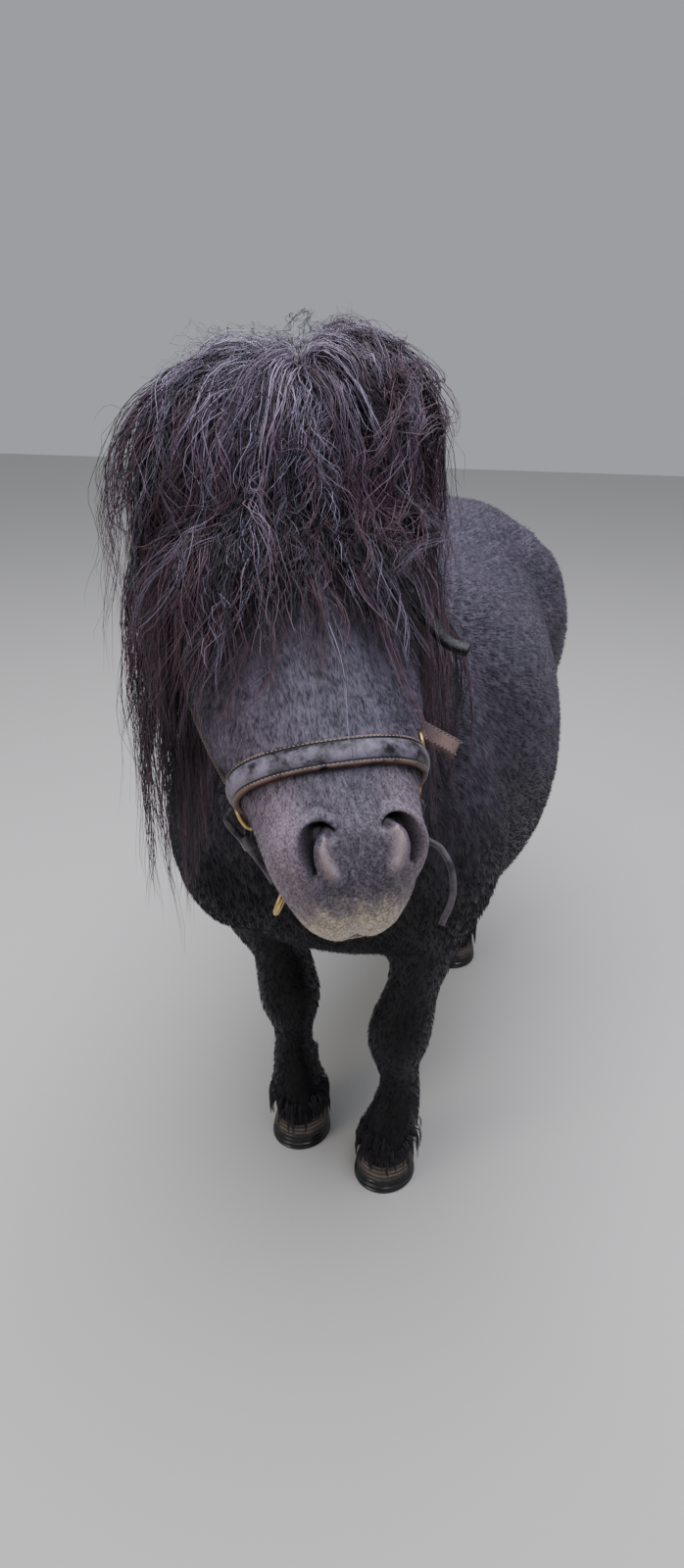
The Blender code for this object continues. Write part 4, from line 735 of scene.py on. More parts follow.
def mesh_arrays(obj):
    """Points, normals and triangles of a mesh as arrays."""
    mesh = obj.data
    mesh.calc_loop_triangles()
    points = np.empty(len(mesh.vertices) * 3)
    normals = np.empty(len(mesh.vertices) * 3)
    triangles = np.empty(len(mesh.loop_triangles) * 3, int)
    mesh.vertices.foreach_get("co", points)
    mesh.vertices.foreach_get("normal", normals)
    mesh.loop_triangles.foreach_get("vertices", triangles)
    return points.reshape(-1, 3), normals.reshape(-1, 3), triangles.reshape(-1, 3)


def fade(value, start, stop):
    """0 before start, 1 after stop, smooth between."""
    t = np.clip((value - start) / (stop - start), 0.0, 1.0)
    return t * t * (3 - 2 * t)


# Body

def barrel_rings():
    """Sections of the barrel from the chest to the rump."""
    rings = []
    for x, y, back, belly, half in smooth_rows(BARREL_ROWS, 3):
        middle = belly + 0.47 * (back - belly)
        rings.append(ring(Vector((x, y, middle)), Vector((1, 0, 0)), Vector((0, 0, 1)), half,
                          back - middle, middle - belly, 40, (BACK_FULLNESS, BELLY_FULLNESS)))
    return rings


def neck_rings():
    """Sections of the neck from the withers to the poll."""
    rows = smooth_rows(NECK_ROWS, 4)
    rings = []
    for i, (x, crest_y, crest_z, throat_y, throat_z, half) in enumerate(rows):
        crest, throat = Vector((x, crest_y, crest_z)), Vector((x, throat_y, throat_z))
        before, after = rows[max(i - 1, 0)], rows[min(i + 1, len(rows) - 1)]
        along = Vector((after[0] - before[0], after[1] - before[1], after[2] - before[2])).normalized()
        up = (crest - throat).normalized()
        across = along.cross(up).normalized()
        depth = (crest - throat).length / 2
        rings.append(ring((crest + throat) / 2, across, up, half, depth, depth, 32))
    return rings


def head_rings():
    """Sections of the head from the poll to the lips."""
    rings = []
    for down, bridge, jaw, half in smooth_rows(HEAD_ROWS, 4):
        middle = bridge + 0.45 * (jaw - bridge)
        rings.append(ring(head_point(down, 0, middle), SIDE, BROW, half, bridge - middle, middle - jaw, 36))
    return rings


def shifted(rows, side, shift, fuller=0.0):
    """A leg's rows on one side, with the foot moved back by that side's shift, and bulging out above the knee."""
    out = []
    for x, y, z, across, deep in rows:
        share = min(1.0, max(0.0, (SHIFT_FROM - z) / (SHIFT_FROM - SHIFT_TO)))
        wider = fuller * max(0.0, 1 - abs(z - FULLEST_AT) / FULLER_WITHIN)
        x += wider
        out.append((x if side == "l" else -x, y + shift[side] * share, z, across + wider, deep))
    return out


def leg_rings(rows):
    """Sections of a leg or of the dock."""
    rows = smooth_rows(rows, 4)
    rings = []
    for i, (x, y, z, across_half, deep_half) in enumerate(rows):
        before, after = rows[max(i - 1, 0)], rows[min(i + 1, len(rows) - 1)]
        along = Vector(after[:3] - before[:3]).normalized()
        across = Vector((1, 0, 0))
        across = (across - along * across.dot(along)).normalized()
        rings.append(ring(Vector((x, y, z)), across, along.cross(across), across_half, deep_half, deep_half, 24))
    return rings


def model_flesh():
    """The whole body as one closed, blended solid, out to the tips of its coat."""
    bm = bmesh.new()
    loft(bm, barrel_rings())
    loft(bm, neck_rings())
    loft(bm, head_rings())
    for side in "lr":
        loft(bm, leg_rings(shifted(FORE_ROWS, side, FORE_SHIFT, FORE_FULLER[side])))
        loft(bm, leg_rings(shifted(HIND_ROWS, side, HIND_SHIFT)))
    loft(bm, leg_rings(DOCK_ROWS))
    for sign in (-1, 1):
        for down, out, rise, radii in HEAD_BALLS:
            add_ball(bm, head_point(down, sign * out, rise), HEAD_AXES, radii)
        for out, middle, y, z, radii in BODY_BALLS:
            add_ball(bm, Vector((sign * out + middle, y, z)), UPRIGHT, radii)
    add_ball(bm, head_point(*CHIN_BALL[:3]), HEAD_AXES, CHIN_BALL[3])
    flesh = object_from("skin", bm)
    remesh = flesh.modifiers.new("blend", "REMESH")
    remesh.mode = "VOXEL"
    remesh.voxel_size = FLESH_VOXEL
    soften = flesh.modifiers.new("soften", "SMOOTH")
    soften.factor = 0.5
    soften.iterations = FLESH_SMOOTHING
    return apply_modifiers(flesh)


def coat_depth(points):
    """How deep the coat lies over each point of the skin."""
    down, _, _ = head_frame(points)
    z = points[:, 2]
    depth = np.full(len(points), COAT_DEPTH["body"])
    depth += (COAT_DEPTH["leg"] - depth) * fade(z, 0.50, 0.36)
    on_head = fade(points[:, 1], -0.30, -0.40) * fade(z, 0.70, 0.80)
    depth += (COAT_DEPTH["face"] - depth) * on_head * fade(down, 0.06, 0.20)
    return depth + (COAT_DEPTH["muzzle"] - depth) * on_head * fade(down, 0.34, 0.39)


def refine(obj, wanted, smoothing):
    """Splits the faces whose middle is wanted into four, and rounds the new points off."""
    bm = bmesh.new()
    bm.from_mesh(obj.data)
    middles = np.array([face.calc_center_median() for face in bm.faces])
    chosen = wanted(middles)
    edges = {edge for face, take in zip(bm.faces, chosen) if take for edge in face.edges}
    bmesh.ops.subdivide_edges(bm, edges=list(edges), cuts=1, use_grid_fill=True)
    inside = wanted(np.array([vert.co for vert in bm.verts]))
    verts = [vert for vert, take in zip(bm.verts, inside) if take]
    for _ in range(smoothing):
        bmesh.ops.smooth_vert(bm, verts=verts, factor=0.5, use_axis_x=True, use_axis_y=True, use_axis_z=True)
    bm.to_mesh(obj.data)
    bm.free()


def at_head(points):
    """Whether each point lies far enough forward and up to be on the head."""
    return (points[:, 1] < -0.40) & (points[:, 2] > 0.72)


def on_face(points):
    return (head_frame(points)[0] > 0.03) & at_head(points)


def on_muzzle(points):
    return (head_frame(points)[0] > 0.335) & at_head(points)


def swell(away, width, middle=0.0):
    """A smooth bulge, 1 at the middle and next to nothing two widths from it."""
    return np.exp(-((away - middle) / width) ** 2)


def near_line(points, line):
    """Distance of each point from a line of points, and how far along the line it is, from 0 to 1."""
    line = np.array(line)
    best = np.full(len(points), 1e9)
    share = np.zeros(len(points))
    for i, (start, stop) in enumerate(zip(line, line[1:])):
        span = stop - start
        t = np.clip((points - start) @ span / (span @ span), 0, 1)
        away = np.linalg.norm(points - (start + t[:, None] * span), axis=1)
        closer = away < best
        best[closer] = away[closer]
        share[closer] = (i + t[closer]) / (len(line) - 1)
    return best, share


def near_features(points):
    """Round the nostrils, the mouth and the eyes, where the mesh has to be finest."""
    down, out, rise = head_frame(points)
    out = np.abs(out)
    nostril = np.hypot(down - 0.396, out - 0.040) < 0.027
    mouth = (down > MOUTH_FROM - 0.004) & (np.abs(rise - mouth_rise(down, out)) < 0.007)
    eye = np.sqrt((down - EYE_DOWN) ** 2 + (out - EYE_OUT) ** 2 + (rise - EYE_IN) ** 2) < 0.036
    return on_face(points) & (nostril & (rise > -0.05) | mouth | eye)


def mouth_rise(down, out):
    return MOUTH_RISE + MOUTH_SLOPE * (down - MOUTH_FROM) + MOUTH_LIFT * out


def eye_axes(out):
    """The way the eye looks, the slit's own direction, and their normal."""
    look = (SIDE * (out * 0.88) + FACE * 0.22 + BROW * 0.36).normalized()
    slit = (FACE - look * FACE.dot(look)).normalized()
    return look, slit, look.cross(slit)


def eye_centre(out):
    return head_point(EYE_DOWN, out * EYE_OUT, EYE_IN)


def model_lids(points, hollow):
    """Rounds the skin over each eyeball into lids, and opens them in an almond."""
    for out in (-1, 1):
        look, slit, rise = (np.array(axis) for axis in eye_axes(out))
        upward = 1.0 if rise @ np.array(BROW) > 0 else -1.0
        away = points - np.array(eye_centre(out))
        reach = np.linalg.norm(away, axis=1)
        near = np.flatnonzero((reach < 0.040) & (away @ look > -0.004))
        along, above, ahead = away[near] @ slit, away[near] @ rise * upward, away[near] @ look
        aside = np.hypot(along, above)
        # The opening is an almond, fuller above than below.
        half = np.where(above > 0, 0.0100, 0.0070) * (1 - 0.5 * np.clip(along / SLIT_HALF, -1, 1) ** 2)
        gap = (along / SLIT_HALF) ** 2 + ((above - 0.0005) / half) ** 2
        lid = np.sqrt(np.clip((EYE_RADIUS + LID_THICK) ** 2 - aside ** 2, 0, None))
        blend_in = 1 - fade(aside, 0.0160, 0.0300)
        target = ahead + (lid - ahead) * blend_in
        # A crease above the upper lid, and the rolled edges of both lids.
        crease = swell(above - 0.0150 + 12 * along ** 2, 0.0016) * (np.abs(along) < 0.019)
        target -= 0.0014 * crease
        target += 0.0009 * swell(np.sqrt(gap), 0.14, 1.22)
        inside = 1 - fade(gap, 0.72, 1.04)
        target = target * (1 - inside) + np.sqrt(np.clip((EYE_RADIUS - 0.004) ** 2 - aside ** 2, 0, None)) * inside
        points[near] += (target - ahead)[:, None] * look
        # Painted shade in the opening between the lids.
        hollow[near] = np.maximum(hollow[near], 0.9 * (1 - fade(gap, 1.0, 1.35)))
    return points


def model_muzzle(points, normals, hollow):
    """Opens the nostrils, and raises their rims, the folds inside them, the lips and the chin's groove."""
    down, out, rise = head_frame(points)
    shifted_out = out - NOSTRIL_SHIFT
    for side in (-1, 1):
        mine = np.flatnonzero((shifted_out * side > 0.004) & (down > 0.34) & (rise > -0.06) & at_head(points))
        place = np.stack([down[mine], shifted_out[mine] * side, rise[mine]], axis=1) * FLATTENED
        (slit, along), (fold, fold_along), (rim, rim_along) = (
            near_line(place, smooth_rows(line, 4) * FLATTENED) for line in (NOSTRIL_LINE, FOLD_LINE, RIM_LINE))
        half = NOSTRIL_HALF * (0.45 + 0.85 * np.sin(math.pi * np.clip(0.85 * along + 0.12, 0, 1)))
        open_share = 1 - fade(slit, 0.40 * half, 1.30 * half)
        inward = np.array(SIDE * (-side * 0.62) - FACE * 0.62 - BROW * 0.48)
        push = normals[mine] * (0.0046 * swell(fold, 0.0040) + 0.0028 * swell(rim, 0.0050)
                                * np.sin(math.pi * np.clip(rim_along * 0.9 + 0.05, 0, 1)))[:, None]
        # The skin dips towards the opening, and a crease runs round the outside of the rim.
        push -= normals[mine] * (0.0022 * swell(slit, 0.0060)
                                 + 0.0014 * swell(rim, 0.0026, 0.0105) * (slit > rim))[:, None]
        points[mine] += push * (1 - open_share)[:, None] + inward * (NOSTRIL_DEPTH * open_share)[:, None]
        # Under 0 a painted highlight makes the fold inside each nostril pale; over 0 painted shade darkens the
        # opening.
        fold_highlight = -swell(fold, 0.0050) * (1 - fade(fold_along, 0.75, 1.0)) * fade(slit, 1.3 * half, 2.6 * half)
        dark = 1 - fade(slit, 0.5 * half, 2.2 * half)
        hollow[mine] = np.where(dark > 0.02, dark, fold_highlight)
    # A shallow trough between the nostrils, and a notch in the middle of the upper lip.
    front = np.flatnonzero((down > 0.385) & (rise > -0.09) & (np.abs(out) < 0.03) & at_head(points))
    trough = swell(out[front], 0.013) * fade(down[front], 0.385, 0.402)
    notch = swell(out[front], 0.006) * fade(down[front], 0.430, 0.445)
    points[front] -= normals[front] * (0.0022 * trough + 0.0030 * notch)[:, None]
    at_mouth = np.flatnonzero((down > MOUTH_FROM - 0.01) & (np.abs(rise - mouth_rise(down, np.abs(out))) < 0.016)
                              & at_head(points))
    offset = rise[at_mouth] - mouth_rise(down[at_mouth], np.abs(out[at_mouth]))
    share = fade(down[at_mouth], MOUTH_FROM - 0.006, MOUTH_FROM + 0.012)
    shut = swell(offset, 0.0013)
    lips = 0.0016 * swell(np.abs(offset), 0.0030, 0.0048)
    points[at_mouth] += normals[at_mouth] * ((lips - 0.0065 * shut) * share)[:, None]
    # Painted shade along the line where the lips meet.
    hollow[at_mouth] = np.maximum(hollow[at_mouth], swell(offset, 0.0020) * share)
    return points


def model_bones(points, normals):
    """The facial crest on each cheek and the hollow above it."""
    down, out, rise = head_frame(points)
    mine = np.flatnonzero((down > 0.10) & (down < 0.40) & at_head(points))
    place = np.stack([down[mine], np.abs(out[mine]), rise[mine]], axis=1)
    crest, _ = near_line(place, smooth_rows(CREST_LINE, 3))
    dip, _ = near_line(place, smooth_rows(DIP_LINE, 3))
    points[mine] += normals[mine] * (0.0035 * swell(crest, 0.010) - 0.0035 * swell(dip, 0.014))[:, None]
    return points


def make_skin(flesh):
    """Draws the skin in by the coat's depth and models the head's folds in a finer mesh."""
    points, normals, _ = mesh_arrays(flesh)
    points -= normals * coat_depth(points)[:, None]
    flesh.data.vertices.foreach_set("co", points.ravel())
    flesh.data.update()
    refine(flesh, on_face, 2)
    refine(flesh, on_muzzle, 2)
    refine(flesh, near_features, 2)
    flesh.data.update()
    points, normals, _ = mesh_arrays(flesh)
    # Painted shade in the openings, and a painted highlight on the folds in the nostrils.
    hollow = np.zeros(len(points))
    points = model_bones(points, normals)
    points = model_muzzle(points, normals, hollow)
    points = model_lids(points, hollow)
    flesh.data.vertices.foreach_set("co", points.ravel())
    set_values(flesh.data, "hollow", hollow)
    flesh.data.update()
    flesh.data.shade_smooth()
    return flesh


def make_eye(name, out):
    """The eyeball with a bulging cornea, mapped from the middle of the pupil."""
    look, slit, rise = eye_axes(out)
    bm = bmesh.new()
    bmesh.ops.create_uvsphere(bm, u_segments=48, v_segments=32, radius=1.0)
    flat = bm.loops.layers.uv.new("eye")
    for face in bm.faces:
        for corner in face.loops:
            place = corner.vert.co
            corner[flat].uv = (place.x / 0.62, place.y / 0.62) if place.z > 0 else (3.0, 3.0)
    for vert in bm.verts:
        ahead = max(0.0, vert.co.z)
        vert.co *= EYE_RADIUS * (1 + 0.045 * fade(ahead, 0.70, 1.0))
    turn = Matrix((slit, rise, look)).transposed().to_4x4()
    bmesh.ops.transform(bm, matrix=Matrix.Translation(eye_centre(out)) @ turn, verts=bm.verts)
    return object_from(name, bm)


def ear_rings(out, inner, count):
    """The ear from root to tip, or the cup inside it."""
    along = (FACE * -0.72 + BROW * 0.34 + SIDE * out * 0.52).normalized()
    opens = SIDE * out * 0.55 + FACE * 0.60 + BROW * 0.45
    opens = (opens - along * opens.dot(along)).normalized()
    across = along.cross(opens)
    root = head_point(0.022, out * 0.050, -0.024)
    rings = []
    for t in np.arange(21) / 20:
        if inner:
            t = 0.16 + 0.80 * t
        half = 0.0225 * (math.sin(math.pi * (0.22 + 0.78 * t)) ** 0.75 + 0.03) * (0.80 if inner else 1.0)
        centre = root + along * (EAR_LENGTH * t) + opens * (0.010 * t * t + (0.0095 if inner else 0.0))
        rings.append(ring(centre, across, opens, half, half * 0.62, half * 0.62, count))
    return rings


def make_ear(name, out):
    """An ear with its cup cut out."""
    ear = lofted(name, ear_rings(out, False, 32))
    cup = lofted("cup", ear_rings(out, True, 28))
    cut = ear.modifiers.new("cup", "BOOLEAN")
    cut.operation = "DIFFERENCE"
    cut.solver = "EXACT"
    cut.object = cup
    apply_modifiers(ear)
    bpy.data.objects.remove(cup, do_unlink=True)
    ear.data.shade_smooth()
    return ear


def coronet_height(back):
    """Height of the hoof's upper edge, lower towards the heel."""
    return HOOF_HEIGHT + (HOOF_HEEL - HOOF_HEIGHT) * (back + HOOF_TOE) / (2 * HOOF_TOE)


def make_hoof(name, foot):
    """A hoof wall flared to the ground, with growth ridges, a bevelled toe and a hollow sole."""
    x, y = foot
    rings = []
    for step in range(HOOF_STEPS + 1):
        share = step / HOOF_STEPS
        ridge = 0.0009 * math.sin(share * 2 * math.pi * HOOF_RIDGES) * math.sin(math.pi * share)
        bevel = 0.0022 * max(0.0, 1 - share / 0.06)
        half = HOOF_SOLE[0] + (HOOF_TOP[0] - HOOF_SOLE[0]) * share + ridge - bevel
        deep = HOOF_SOLE[1] + (HOOF_TOP[1] - HOOF_SOLE[1]) * share + ridge - bevel
        centre = Vector((x, y + 0.010 * share, 0))
        points = ring(centre, Vector((1, 0, 0)), Vector((0, -1, 0)), half, deep, deep * 0.92, 56)
        for point in points:
            point.z = share * coronet_height(point.y - y)
        rings.append(points)
    sole = [[Vector((x + (p.x - x) * share, y + (p.y - y) * share, height)) for p in rings[0]]
            for share, height in SOLE_STEPS]
    return lofted(name, sole + rings)


# Strands and tufts

def mesh_from(name, points, faces, maps, values=None):
    """A smooth mesh from arrays, with its OFBake map and its per-point values."""
    mesh = bpy.data.meshes.new(name)
    mesh.from_pydata(points, [], faces)
    mesh.shade_smooth()
    layer = mesh.uv_layers.new(name="OFBake")
    corners = np.empty(len(mesh.loops), int)
    mesh.loops.foreach_get("vertex_index", corners)
    layer.data.foreach_set("uv", maps[corners].ravel())
    for key, value in (values or {}).items():
        set_values(mesh, key, value)
    made = bpy.data.objects.new(name, mesh)
    bpy.context.scene.collection.objects.link(made)
    return made


def unit(vectors):
    """The same vectors, one long."""
    return vectors / np.maximum(np.linalg.norm(vectors, axis=-1, keepdims=True), 1e-12)


def strand_mesh(name, paths, facing, half_width, places, tones):
    """Tapered three-sided strands along paths, one closed form each, at their places on the map."""
    count, steps, _ = paths.shape
    along = unit(np.gradient(paths, axis=1))
    outward = unit(facing - along * np.sum(facing * along, axis=2, keepdims=True))
    across = np.cross(along, outward)
    u = np.linspace(0, 1, steps)
    taper = np.minimum(1.0, 0.45 + 4 * u) * (1 - 0.75 * u ** 2.5)
    size = (half_width[:, None] * taper[None, :])[:, :, None]
    rings = np.stack([paths + across * size, paths + outward * size * 0.9, paths - across * size], axis=2)
    body = rings[:, :-1].reshape(count, -1, 3)
    points = np.concatenate([body, paths[:, -1:, :]], axis=1)
    each = points.shape[1]
    faces = [(0, 1, 2)]
    for step in range(steps - 2):
        low = 3 * step
        for k in range(3):
            a, b = low + k, low + (k + 1) % 3
            faces += [(a, a + 3, b), (b, a + 3, b + 3)]
    low = 3 * (steps - 2)
    faces += [(low + k, each - 1, low + (k + 1) % 3) for k in range(3)]
    faces = np.array(faces)[None] + (np.arange(count) * each)[:, None, None]
    share = np.concatenate([np.repeat(u[:-1], 3), [1.0]])
    spread = np.concatenate([np.tile([-1.0, 0.0, 1.0], steps - 1), [0.0]])
    maps = places[:, None, :] + PATCH * np.stack([spread, 2 * share - 1], axis=1)[None]
    values = {key: np.repeat(tone, each) for key, tone in tones.items()}
    values["along"] = np.tile(share, count)
    return mesh_from(name, points.reshape(-1, 3), faces.reshape(-1, 3), maps.reshape(-1, 2), values)


def fall(root, heading, length, surface, clearance, droop, steps):
    """The path of a lock: it sets off along heading, hangs down within the length droop, and lies on the body."""
    near, normal, _, _ = surface.find_nearest(root)
    path, facing = [root.copy()], [normal]
    direction = heading.normalized()
    stride = length / ((steps - 1) * SUBSTEPS)
    turning = 1 - math.exp(-stride / droop)
    here = root.copy()
    if (root - near).dot(normal) < clearance:
        here = near + normal * clearance
    for step in range((steps - 1) * SUBSTEPS):
        point = here + direction * stride
        near, normal, _, _ = surface.find_nearest(point)
        if (point - near).dot(normal) < clearance:
            point = near + normal * clearance
        direction = (point - here).normalized()
        direction = (direction * (1 - turning) + Vector((0, 0, -turning))).normalized()
        here = point
        if (step + 1) % SUBSTEPS == 0:
            path.append(point)
            facing.append(normal)
    return path, facing


def grow_strands(guides, facings, each, look):
    """Strands round guide paths: loose at the root, drawn together at the tip, each with its own crinkle and curl."""
    guides, facings = np.array(guides), np.array(facings)
    clumps, steps, _ = guides.shape
    count = clumps * each
    u = np.linspace(0, 1, steps)[None]
    whole = 2 * math.pi
    spread, depth, wander = look["spread"], look["depth"], look["wander"]

    def clump_draw(low, high):
        return np.repeat(draw.uniform(low, high, clumps), each)[:, None]

    def strand_draw(low, high):
        return draw.uniform(low, high, count)[:, None]

    guides = np.repeat(guides, each, axis=0)
    facings = np.repeat(facings, each, axis=0)
    at = u * (1 - look["shorten"] * strand_draw(0, 1) ** 1.6) * (steps - 1)
    low = np.minimum(at.astype(int), steps - 2)
    part = (at - low)[:, :, None]
    rows = np.arange(count)[:, None]
    paths = guides[rows, low] * (1 - part) + guides[rows, low + 1] * part
    outward = unit(facings[rows, low] * (1 - part) + facings[rows, low + 1] * part)
    along = unit(np.gradient(paths, axis=1))
    outward = unit(outward - along * np.sum(outward * along, axis=2, keepdims=True))
    across = np.cross(along, outward)
    gather = 1 - clump_draw(0.55, 0.95) * fade(u, 0.0, 0.95)
    aside, lift = strand_draw(-1, 1) * spread, strand_draw(-1, 1) * depth
    twist = clump_draw(-3.0, 3.0) * u
    wild = clump_draw(0.35, 1.0) * clump_draw(0.7, 1.6)
    strays = (draw.random(count) < look["stray"])[:, None] * strand_draw(0.3, 1.0)
    # Each clump waves as a whole, each strand crinkles more closely, and some clumps curl at the tip.
    wave = look["crinkle"] * wild * strand_draw(0.4, 1.3) * np.minimum(1, 6 * u)
    turns, phase = clump_draw(2.4, 5.0) * strand_draw(0.92, 1.08), clump_draw(0, whole) + strand_draw(-0.7, 0.7)
    fine = look["crinkle"] * 0.35 * strand_draw(0, 1) * np.minimum(1, 6 * u)
    close, start = strand_draw(steps / 6, steps / 3.2), strand_draw(0, whole)
    swing = wave * np.sin(whole * turns * u + phase) + fine * np.sin(whole * close * u + start)
    bob = wave * 0.45 * (1 + np.sin(whole * turns * u + 1.7 * phase)) + fine * np.cos(whole * close * u + start)
    slow = clump_draw(0.6, 1.9)
    sway = wander * wild * u ** 0.8 * np.sin(whole * slow * u + clump_draw(0, whole))
    lean = wander * wild * 0.40 * u ** 0.8 * (1 + np.sin(whole * slow * u + clump_draw(0, whole)))
    curled = (clump_draw(0, 1) < look["curled"]) * look["curl"] * clump_draw(0.5, 1.2) * fade(u, 0.45, 0.80)
    hand = np.sign(clump_draw(-1, 1))
    round_tip = whole * clump_draw(0.8, 1.7) * np.clip((u - 0.45) / 0.55, 0, 1)
    sideways = (aside * np.cos(twist) - lift * np.sin(twist)) * gather + swing + sway
    sideways += strays * strand_draw(-1, 1) * 0.030 * u ** 1.5 + curled * hand * np.sin(round_tip)
    raised = depth + (aside * np.sin(twist) * 0.5 + lift * np.cos(twist)) * gather + bob + lean
    raised += strays * 0.014 * u + curled * (1 - np.cos(round_tip))
    return paths + across * sideways[:, :, None] + outward * raised[:, :, None], outward


def hair_piece(name, clumps, each, look):
    """Grows the strands of one piece of hair. Each clump is a path, its facing, its place on the map and two tones."""
    paths, outward = grow_strands([clump[0] for clump in clumps], [clump[1] for clump in clumps], each, look)
    count = len(paths)
    places = np.repeat(np.array([clump[2] for clump in clumps]), each, axis=0)
    places = places + draw.uniform(-0.008, 0.008, (count, 2))
    tones = np.repeat([clump[3] for clump in clumps], each)
    warm = np.repeat([clump[4] for clump in clumps], each)
    shade = np.clip(tones * draw.uniform(0.35, 1.30, count) + 0.14 * draw.random(count) ** 2, 0, 1)
    return strand_mesh(name, paths, outward, look["width"] * draw.uniform(0.55, 1.25, count), places,
                       {"shade": shade, "warm": np.clip(warm + draw.normal(0, 0.1, count), 0, 1)})


def crest_point(t):
    """A point on the crest of the neck, from the poll at 0 to the withers at 1."""
    x = t * (len(CREST_PATH) - 1)
    i = min(int(x), len(CREST_PATH) - 2)
    return Vector(CREST_PATH[i]).lerp(Vector(CREST_PATH[i + 1]), x - i)


def cut_by_plane(obj, point, normal):
    """Takes away what lies behind a plane, and closes the cut."""
    bm = bmesh.new()
    bm.from_mesh(obj.data)
    cut = bmesh.ops.bisect_plane(bm, geom=bm.verts[:] + bm.edges[:] + bm.faces[:], plane_co=point, plane_no=normal,
                                 clear_inner=True)
    edges = [item for item in cut["geom_cut"] if isinstance(item, bmesh.types.BMEdge)]
    bmesh.ops.edgeloop_fill(bm, edges=edges)
    bmesh.ops.recalc_face_normals(bm, faces=bm.faces)
    bm.to_mesh(obj.data)
    bm.free()


def make_forelock(body):
    """The forelock: a dark mass over the poll, and clumps that spring from a whorl and part over the face."""
    core = even_ball("forelock_core", head_point(0.012, 0.006, -0.010), HEAD_AXES, FORELOCK_CORE, 48)
    surface = surface_of(body, core)
    made = [core]

    def clump(angle, far, length, up, clearance, points, tone, warm, droop):
        out, down = math.sin(angle), math.cos(angle)
        root = head_point(WHORL[0] + 0.040 * down * far, WHORL[1] + 0.052 * out * far, 0.058 - 0.010 * far)
        heading = FACE * down + SIDE * out + BROW * up
        path, facing = fall(root, heading, length, surface, clearance, droop, points)
        return path, facing, (0.5 + 0.46 * angle / math.pi, 0.04 + 0.90 * far), tone, warm

    for name, clearance, count, each, points, width, length, lift, darkest, lightest in FORELOCK_LAYERS:
        clumps = []
        for i in range(count):
            angle = math.radians(FORELOCK_REACH) * (2 * (i + fixed.random()) / count - 1)
            out = math.sin(angle)
            far = fixed.random()
            extent = length * (0.86 + (0.34 if out < 0 else 0.16) * abs(out)) * fixed.uniform(0.62, 1.12)
            tone = darkest + (lightest - darkest) * fixed.random() ** 1.3
            warm = 0.9 * (fixed.random() < 0.14 + 0.42 * abs(out))
            up = lift * (1.25 - far) * fixed.uniform(0.5, 1.4) - 0.20 * far * abs(out)
            droop = FORELOCK_DROOP[out > 0] * fixed.uniform(0.65, 1.15) * (1.15 - 0.45 * abs(out))
            # On its left some clumps stand off the poll, by a share that is read from their tone.
            loose = FORELOCK_LOOSE * max(0.0, out) ** 1.5 * (9 * tone % 1) * (name != "under")
            clumps.append(clump(angle, far, extent, up, clearance + loose, points, tone, warm, droop))
        made.append(hair_piece(f"forelock_{name}", clumps, each, {**FORELOCK_LOOK, "width": width}))
    clumps = [clump(math.radians(degrees), far=0.5, length=length, up=0.25, clearance=0.013, points=24, tone=0.72,
                    warm=0.0, droop=FORELOCK_DROOP[0])
              for degrees, length in WISPS]
    made.append(hair_piece("forelock_wisps", clumps, 14, WISP_LOOK))
    clumps = []
    # The crown's short hair on top of the dome gets paler tones, as painted light.
    for i in range(CROWN_CLUMPS):
        angle, far = math.radians(180) * fixed.uniform(-1, 1), 1.6 * fixed.random() ** 0.7
        clumps.append(clump(angle, far, length=fixed.uniform(0.034, 0.078),
                            up=fixed.uniform(-0.2, 0.5) * (1.3 - 0.6 * far), clearance=0.005, points=14,
                            tone=fixed.uniform(0.35, 1.0), warm=0.6 * (fixed.random() < 0.3),
                            droop=fixed.uniform(0.012, 0.028)))
    made.append(hair_piece("forelock_crown", clumps, 8, CROWN_LOOK))
    cut_by_plane(core, PARTING, Vector((FACE.x, FACE.y, 0)).normalized())
    return made


def mane_core():
    """A saddle of hair over the crest, down the upper sides of the neck, thinner on the left behind."""
    above, reach = MANE_CORE
    thin_from, thin_to, thinnest = LEFT_THINS
    rings = []
    steps = 24
    for i in range(steps):
        t = i / (steps - 1)
        along = (crest_point(min(1.0, t + 0.05)) - crest_point(max(0.0, t - 0.05))).normalized()
        across = along.cross(Vector((0, 0, 1))).normalized()
        up = across.cross(along)
        thin = 1 - 0.7 * t ** 3
        half = (MANE_HALF[0] + (MANE_HALF[1] - MANE_HALF[0]) * t) * 0.86 * thin + 0.006
        left = 1 - (1 - thinnest) * min(1.0, max(0.0, (t - thin_from) / (thin_to - thin_from)))
        points = ring(Vector(), across, up, half, (reach + above) * thin, 0.02, 32)
        points = [point - across * (max(0.0, point.dot(across)) * (1 - left)) for point in points]
        rings.append([crest_point(t) - up * reach * thin + point for point in points])
    return lofted("mane_core", rings)


